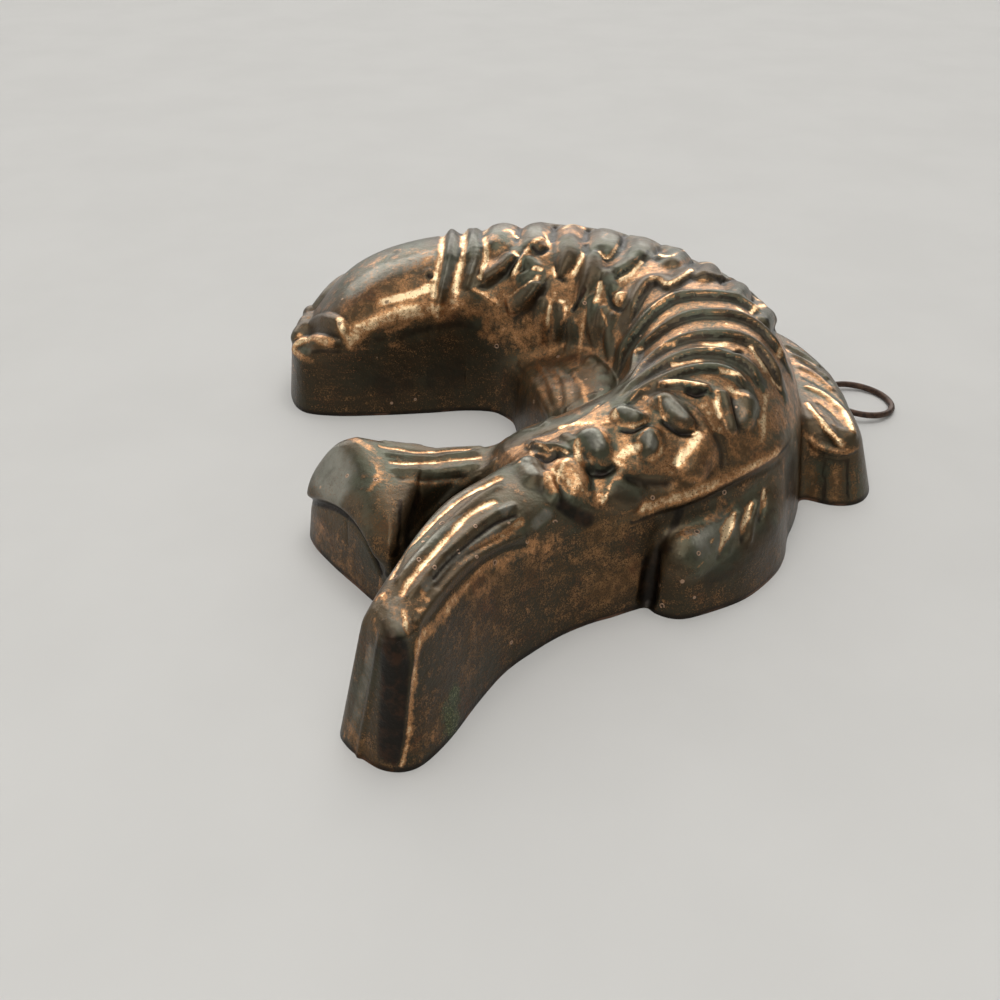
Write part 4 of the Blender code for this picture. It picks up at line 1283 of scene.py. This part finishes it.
# --- the ring, the lug and its solder ------------------------------------------------
WIRE, RING_R, RING_DROP = 1.8, 9.7, 6.5
EYE_R, STRAP, LUG_WIDTH, LUG_TALL, GAP = 1.5, 0.8, 4.0, 9.5, 0.3
SOLDER_WIDE, SOLDER_TALL = 1.6, 1.5
turn = math.radians(15)
level_out = Vector((math.cos(turn), math.sin(turn), 0))
along_wall = Vector((-math.sin(turn), math.cos(turn), 0))
lean = math.atan(0.15)
out = (level_out * math.cos(lean) + Vector((0, 0, math.sin(lean)))).normalized()
up = along_wall.cross(out) * -1
if up.z < 0:
    up = -up
eye_off = GAP + STRAP + EYE_R
foot = Vector((92.15, 277.4, 0))
ring_low = WIRE / 2 + 2 * RING_R * math.sin(math.radians(RING_DROP))
climb = (ring_low - eye_off * out.z) / up.z
eye = foot + up * climb + out * eye_off
eye_at = (eye + Vector(SHIFT)) * MM


def placed(mesh, ax, ay, az):
    """Turns a mesh drawn in mm round the lug's eye into the object's frame."""
    m = Matrix.Identity(4)
    for i in range(3):
        m[i][0], m[i][1], m[i][2], m[i][3] = ax[i], ay[i], az[i], eye_at[i]
    mesh.transform(m @ Matrix.Scale(MM, 4))


# ring: bent wire, very slightly uneven, its two ends meeting in a soldered butt joint
bm = bmesh.new()
drop = math.radians(RING_DROP)
TURNS, SIDES = 120, 18
loops = []
for i in range(TURNS):
    a = 2 * math.pi * i / TURNS
    thick = WIRE / 2 * (1 - 0.02 + 0.015 * math.sin(3 * a + 1) + 0.012 * math.sin(7 * a))
    joint = abs((a - math.radians(40) + math.pi) % (2 * math.pi) - math.pi)
    if joint < math.radians(2):
        thick *= 0.93
    middle = Vector((RING_R - RING_R * math.cos(a), RING_R * math.sin(a), 0))
    radial = Vector((-math.cos(a), math.sin(a), 0))
    loops.append([bm.verts.new(middle + radial * thick * math.cos(2 * math.pi * k / SIDES)
                               + Vector((0, 0, thick * math.sin(2 * math.pi * k / SIDES))))
                  for k in range(SIDES)])
for i in range(TURNS):
    p, q = loops[i], loops[(i + 1) % TURNS]
    for k in range(SIDES):
        bm.faces.new((p[k], p[(k + 1) % SIDES], q[(k + 1) % SIDES], q[k]))
bmesh.ops.recalc_face_normals(bm, faces=bm.faces[:])
ring_mesh = bpy.data.meshes.new("ring")
bm.to_mesh(ring_mesh)
bm.free()
tilt = Matrix.Rotation(turn, 4, "Z") @ Matrix.Rotation(drop, 4, "Y")
ring_mesh.transform(Matrix.Translation(eye_at) @ tilt @ Matrix.Scale(MM, 4))
ring_mesh.shade_smooth()
ring = new_object("ring_wire", ring_mesh)
ring_mesh.materials.append(plain_copper("ring_patina", (58, 45, 38), (84, 64, 52), 0.38))
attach(ring, "ring")
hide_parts("hanging_ring")

# lug: the strip folded round the wire, edges softened
bm = bmesh.new()
outer_r = EYE_R + STRAP
back = -outer_r
front = back + 2 * STRAP
meet = math.atan2(math.sqrt(outer_r ** 2 - front ** 2), front)
ARC, HOLE = 44, 40
profile = [(back, LUG_TALL), (back, LUG_TALL * 0.5), (back, 0.0)]
for i in range(1, ARC + 1):
    a = math.pi + (math.pi + meet) * i / ARC
    profile.append((outer_r * math.cos(a), outer_r * math.sin(a)))
profile += [(front, LUG_TALL * 0.5), (front, LUG_TALL)]
hole = [(EYE_R * math.cos(2 * math.pi * (i + 0.5) / HOLE), EYE_R * math.sin(2 * math.pi * (i + 0.5) / HOLE))
        for i in range(HOLE)]
outer_loop = [bm.verts.new((x, -LUG_WIDTH / 2, z)) for x, z in profile]
hole_loop = [bm.verts.new((x, -LUG_WIDTH / 2, z)) for x, z in hole]
edges = [bm.edges.new((loop[i], loop[(i + 1) % len(loop)])) for loop in (outer_loop, hole_loop)
         for i in range(len(loop))]
side = bmesh.ops.triangle_fill(bm, edges=edges, use_beauty=True)
side_faces = [g for g in side["geom"] if isinstance(g, bmesh.types.BMFace)]
grown = bmesh.ops.extrude_face_region(bm, geom=side_faces)
bmesh.ops.translate(bm, vec=(0, LUG_WIDTH, 0),
                    verts=[g for g in grown["geom"] if isinstance(g, bmesh.types.BMVert)])
bmesh.ops.recalc_face_normals(bm, faces=bm.faces[:])
lug_mesh = bpy.data.meshes.new("lug")
bm.to_mesh(lug_mesh)
bm.free()
placed(lug_mesh, out, along_wall, up)
lug = new_object("lug_strap", lug_mesh)
edge = lug.modifiers.new("edge", "BEVEL")
edge.width = 0.00015
edge.segments = 2
edge.limit_method = "ANGLE"
edge.angle_limit = math.radians(40)
lug_mesh = made_real(lug)
lug_mesh.shade_smooth()
lug_mesh.set_sharp_from_angle(angle=math.radians(50))
lug_mesh.materials.append(plain_copper("lug_patina", (60, 48, 38), (98, 72, 54), 0.4))
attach(lug, "mould")
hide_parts("ring_lug")

# solder: a soft fillet round the lug's sides and top, a little lumpy
bm = bmesh.new()
half = LUG_WIDTH / 2 + GAP
head = LUG_TALL + GAP
path = [(half, 3.3 + (head - 1.5 - 3.3) * i / 8, 0.0) for i in range(9)]
path += [(half, head, math.radians(90 * i / 8)) for i in range(9)]
path += [(half - 2 * half * i / 6, head, math.radians(90)) for i in range(1, 6)]
path += [(-half, head, math.radians(90 + 90 * i / 8)) for i in range(9)]
path += [(-half, head - 1.5 - (head - 1.5 - 3.3) * i / 8, math.pi) for i in range(9)]
section = [(0.06, 0.0), (0.98, 0.0), (0.93, 0.12), (0.8, 0.32), (0.62, 0.52), (0.42, 0.72), (0.25, 0.86),
           (0.14, 0.94), (0.06, 0.95)]
loops = []
for n, (w, u, a) in enumerate(path):
    swell = 1 + 0.04 * math.sin(n * 1.7) + 0.03 * math.sin(n * 0.6 + 2) - 0.05
    end = min(1.0, 0.45 + 0.2 * min(n, len(path) - 1 - n))
    loops.append([bm.verts.new((back + SOLDER_TALL * tall * end * swell,
                                w + SOLDER_WIDE * spread * swell * end * math.cos(a),
                                u + SOLDER_WIDE * spread * swell * end * math.sin(a))) for spread, tall in section])
for p, q in zip(loops, loops[1:]):
    for i in range(len(section)):
        j = (i + 1) % len(section)
        bm.faces.new((p[i], p[j], q[j], q[i]))
bm.faces.new(loops[0])
bm.faces.new(loops[-1])
bmesh.ops.remove_doubles(bm, verts=bm.verts[:], dist=0.002)
bmesh.ops.dissolve_degenerate(bm, edges=bm.edges[:], dist=0.002)
bmesh.ops.recalc_face_normals(bm, faces=bm.faces[:])
solder_mesh = bpy.data.meshes.new("solder")
bm.to_mesh(solder_mesh)
bm.free()
placed(solder_mesh, out, along_wall, up)
solder_mesh.shade_smooth()
solder_mesh.set_sharp_from_angle(angle=math.radians(60))
solder = new_object("lug_fillet", solder_mesh)
solder_mesh.materials.append(soft_solder("grey_solder"))
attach(solder, "mould")
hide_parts("lug_solder")

# --- the CAD solids' own finishes -----------------------------------------------------
for name, slot in (("mould_shell", OUTSIDE), ("hanging_ring", ring_mesh.materials[0]),
                   ("ring_lug", lug_mesh.materials[0]), ("lug_solder", solder_mesh.materials[0])):
    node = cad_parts[name]
    for s in node.material_slots:
        s.material = slot

# --- table, light and camera ------------------------------------------------------------
floor_mesh = bpy.data.meshes.new("table_top")
floor_mesh.from_pydata([(-3, -3, 0), (3, -3, 0), (3, 3, 0), (-3, 3, 0)], [], [(0, 1, 2, 3)])
floor = new_object("table_top", floor_mesh)
f = Finish("pale_table")
colour = f.mix(f.step(f.noise(0.02, 3), 0.3, 0.7), linear(208, 207, 204), linear(211, 210, 207))
f.put(f.shader.inputs["Base Color"], colour)
f.shader.inputs["Roughness"].default_value = 0.75
f.shader.inputs["Specular IOR Level"].default_value = 0.05
floor_mesh.materials.append(f.mat)

sky = bpy.data.worlds.new("soft_room")
bpy.context.scene.world = sky
sky.use_nodes = True
sky.node_tree.nodes["Background"].inputs[0].default_value = (0.9, 0.89, 0.87, 1)
sky.node_tree.nodes["Background"].inputs[1].default_value = 0.3


def lamp(name, place, target, size, watts, colour):
    data = bpy.data.lights.new(name, "AREA")
    data.shape = "RECTANGLE"
    data.size, data.size_y = size
    data.energy = watts
    data.color = colour
    ob = new_object(name, data)
    ob.location = place
    ob.rotation_euler = (Vector(target) - Vector(place)).to_track_quat("-Z", "Y").to_euler()
    return ob


lamp("ceiling", (0.2, -0.2, 4.0), (0, 0, 0), (3.2, 3.2), 60.0, (1.0, 0.99, 0.975))
lamp("ceiling_back", (0.0, 1.4, 3.8), (0, 0, 0), (3.2, 3.2), 40.0, (1.0, 0.99, 0.975)).visible_glossy = False
lamp("far_wall", (0.0, 6.0, 3.4), (0, 0, 0), (10.4, 4.4), 70.0, (1.0, 0.99, 0.975))
lamp("far_glow", (0.0, 6.1, 3.45), (0, 0, 0), (10.4, 4.4), 370.0, (1.0, 0.99, 0.975)).visible_diffuse = False
lamp("left_wall", (-5.6, 1.2, 2.0), (0, 0, 0), (5.0, 3.4), 40.0, (1.0, 0.99, 0.975))
lamp("window", (-0.25, -0.75, 0.75), (0, 0, 0), (0.4, 0.3), 2.0, (1.0, 0.99, 0.975))

cam = bpy.data.cameras.new("camera")
cam_ob = new_object("camera", cam)
cam_ob.location = (SHIFT[0] * MM, SHIFT[1] * MM, CAM_Z * MM)
cam_ob.rotation_euler = (math.radians(56), 0, 0)
cam.sensor_width = 36
cam.lens = 39.6
cam.clip_start = 0.01
bpy.context.scene.camera = cam_ob
bpy.context.scene.view_settings.view_transform = "Standard"
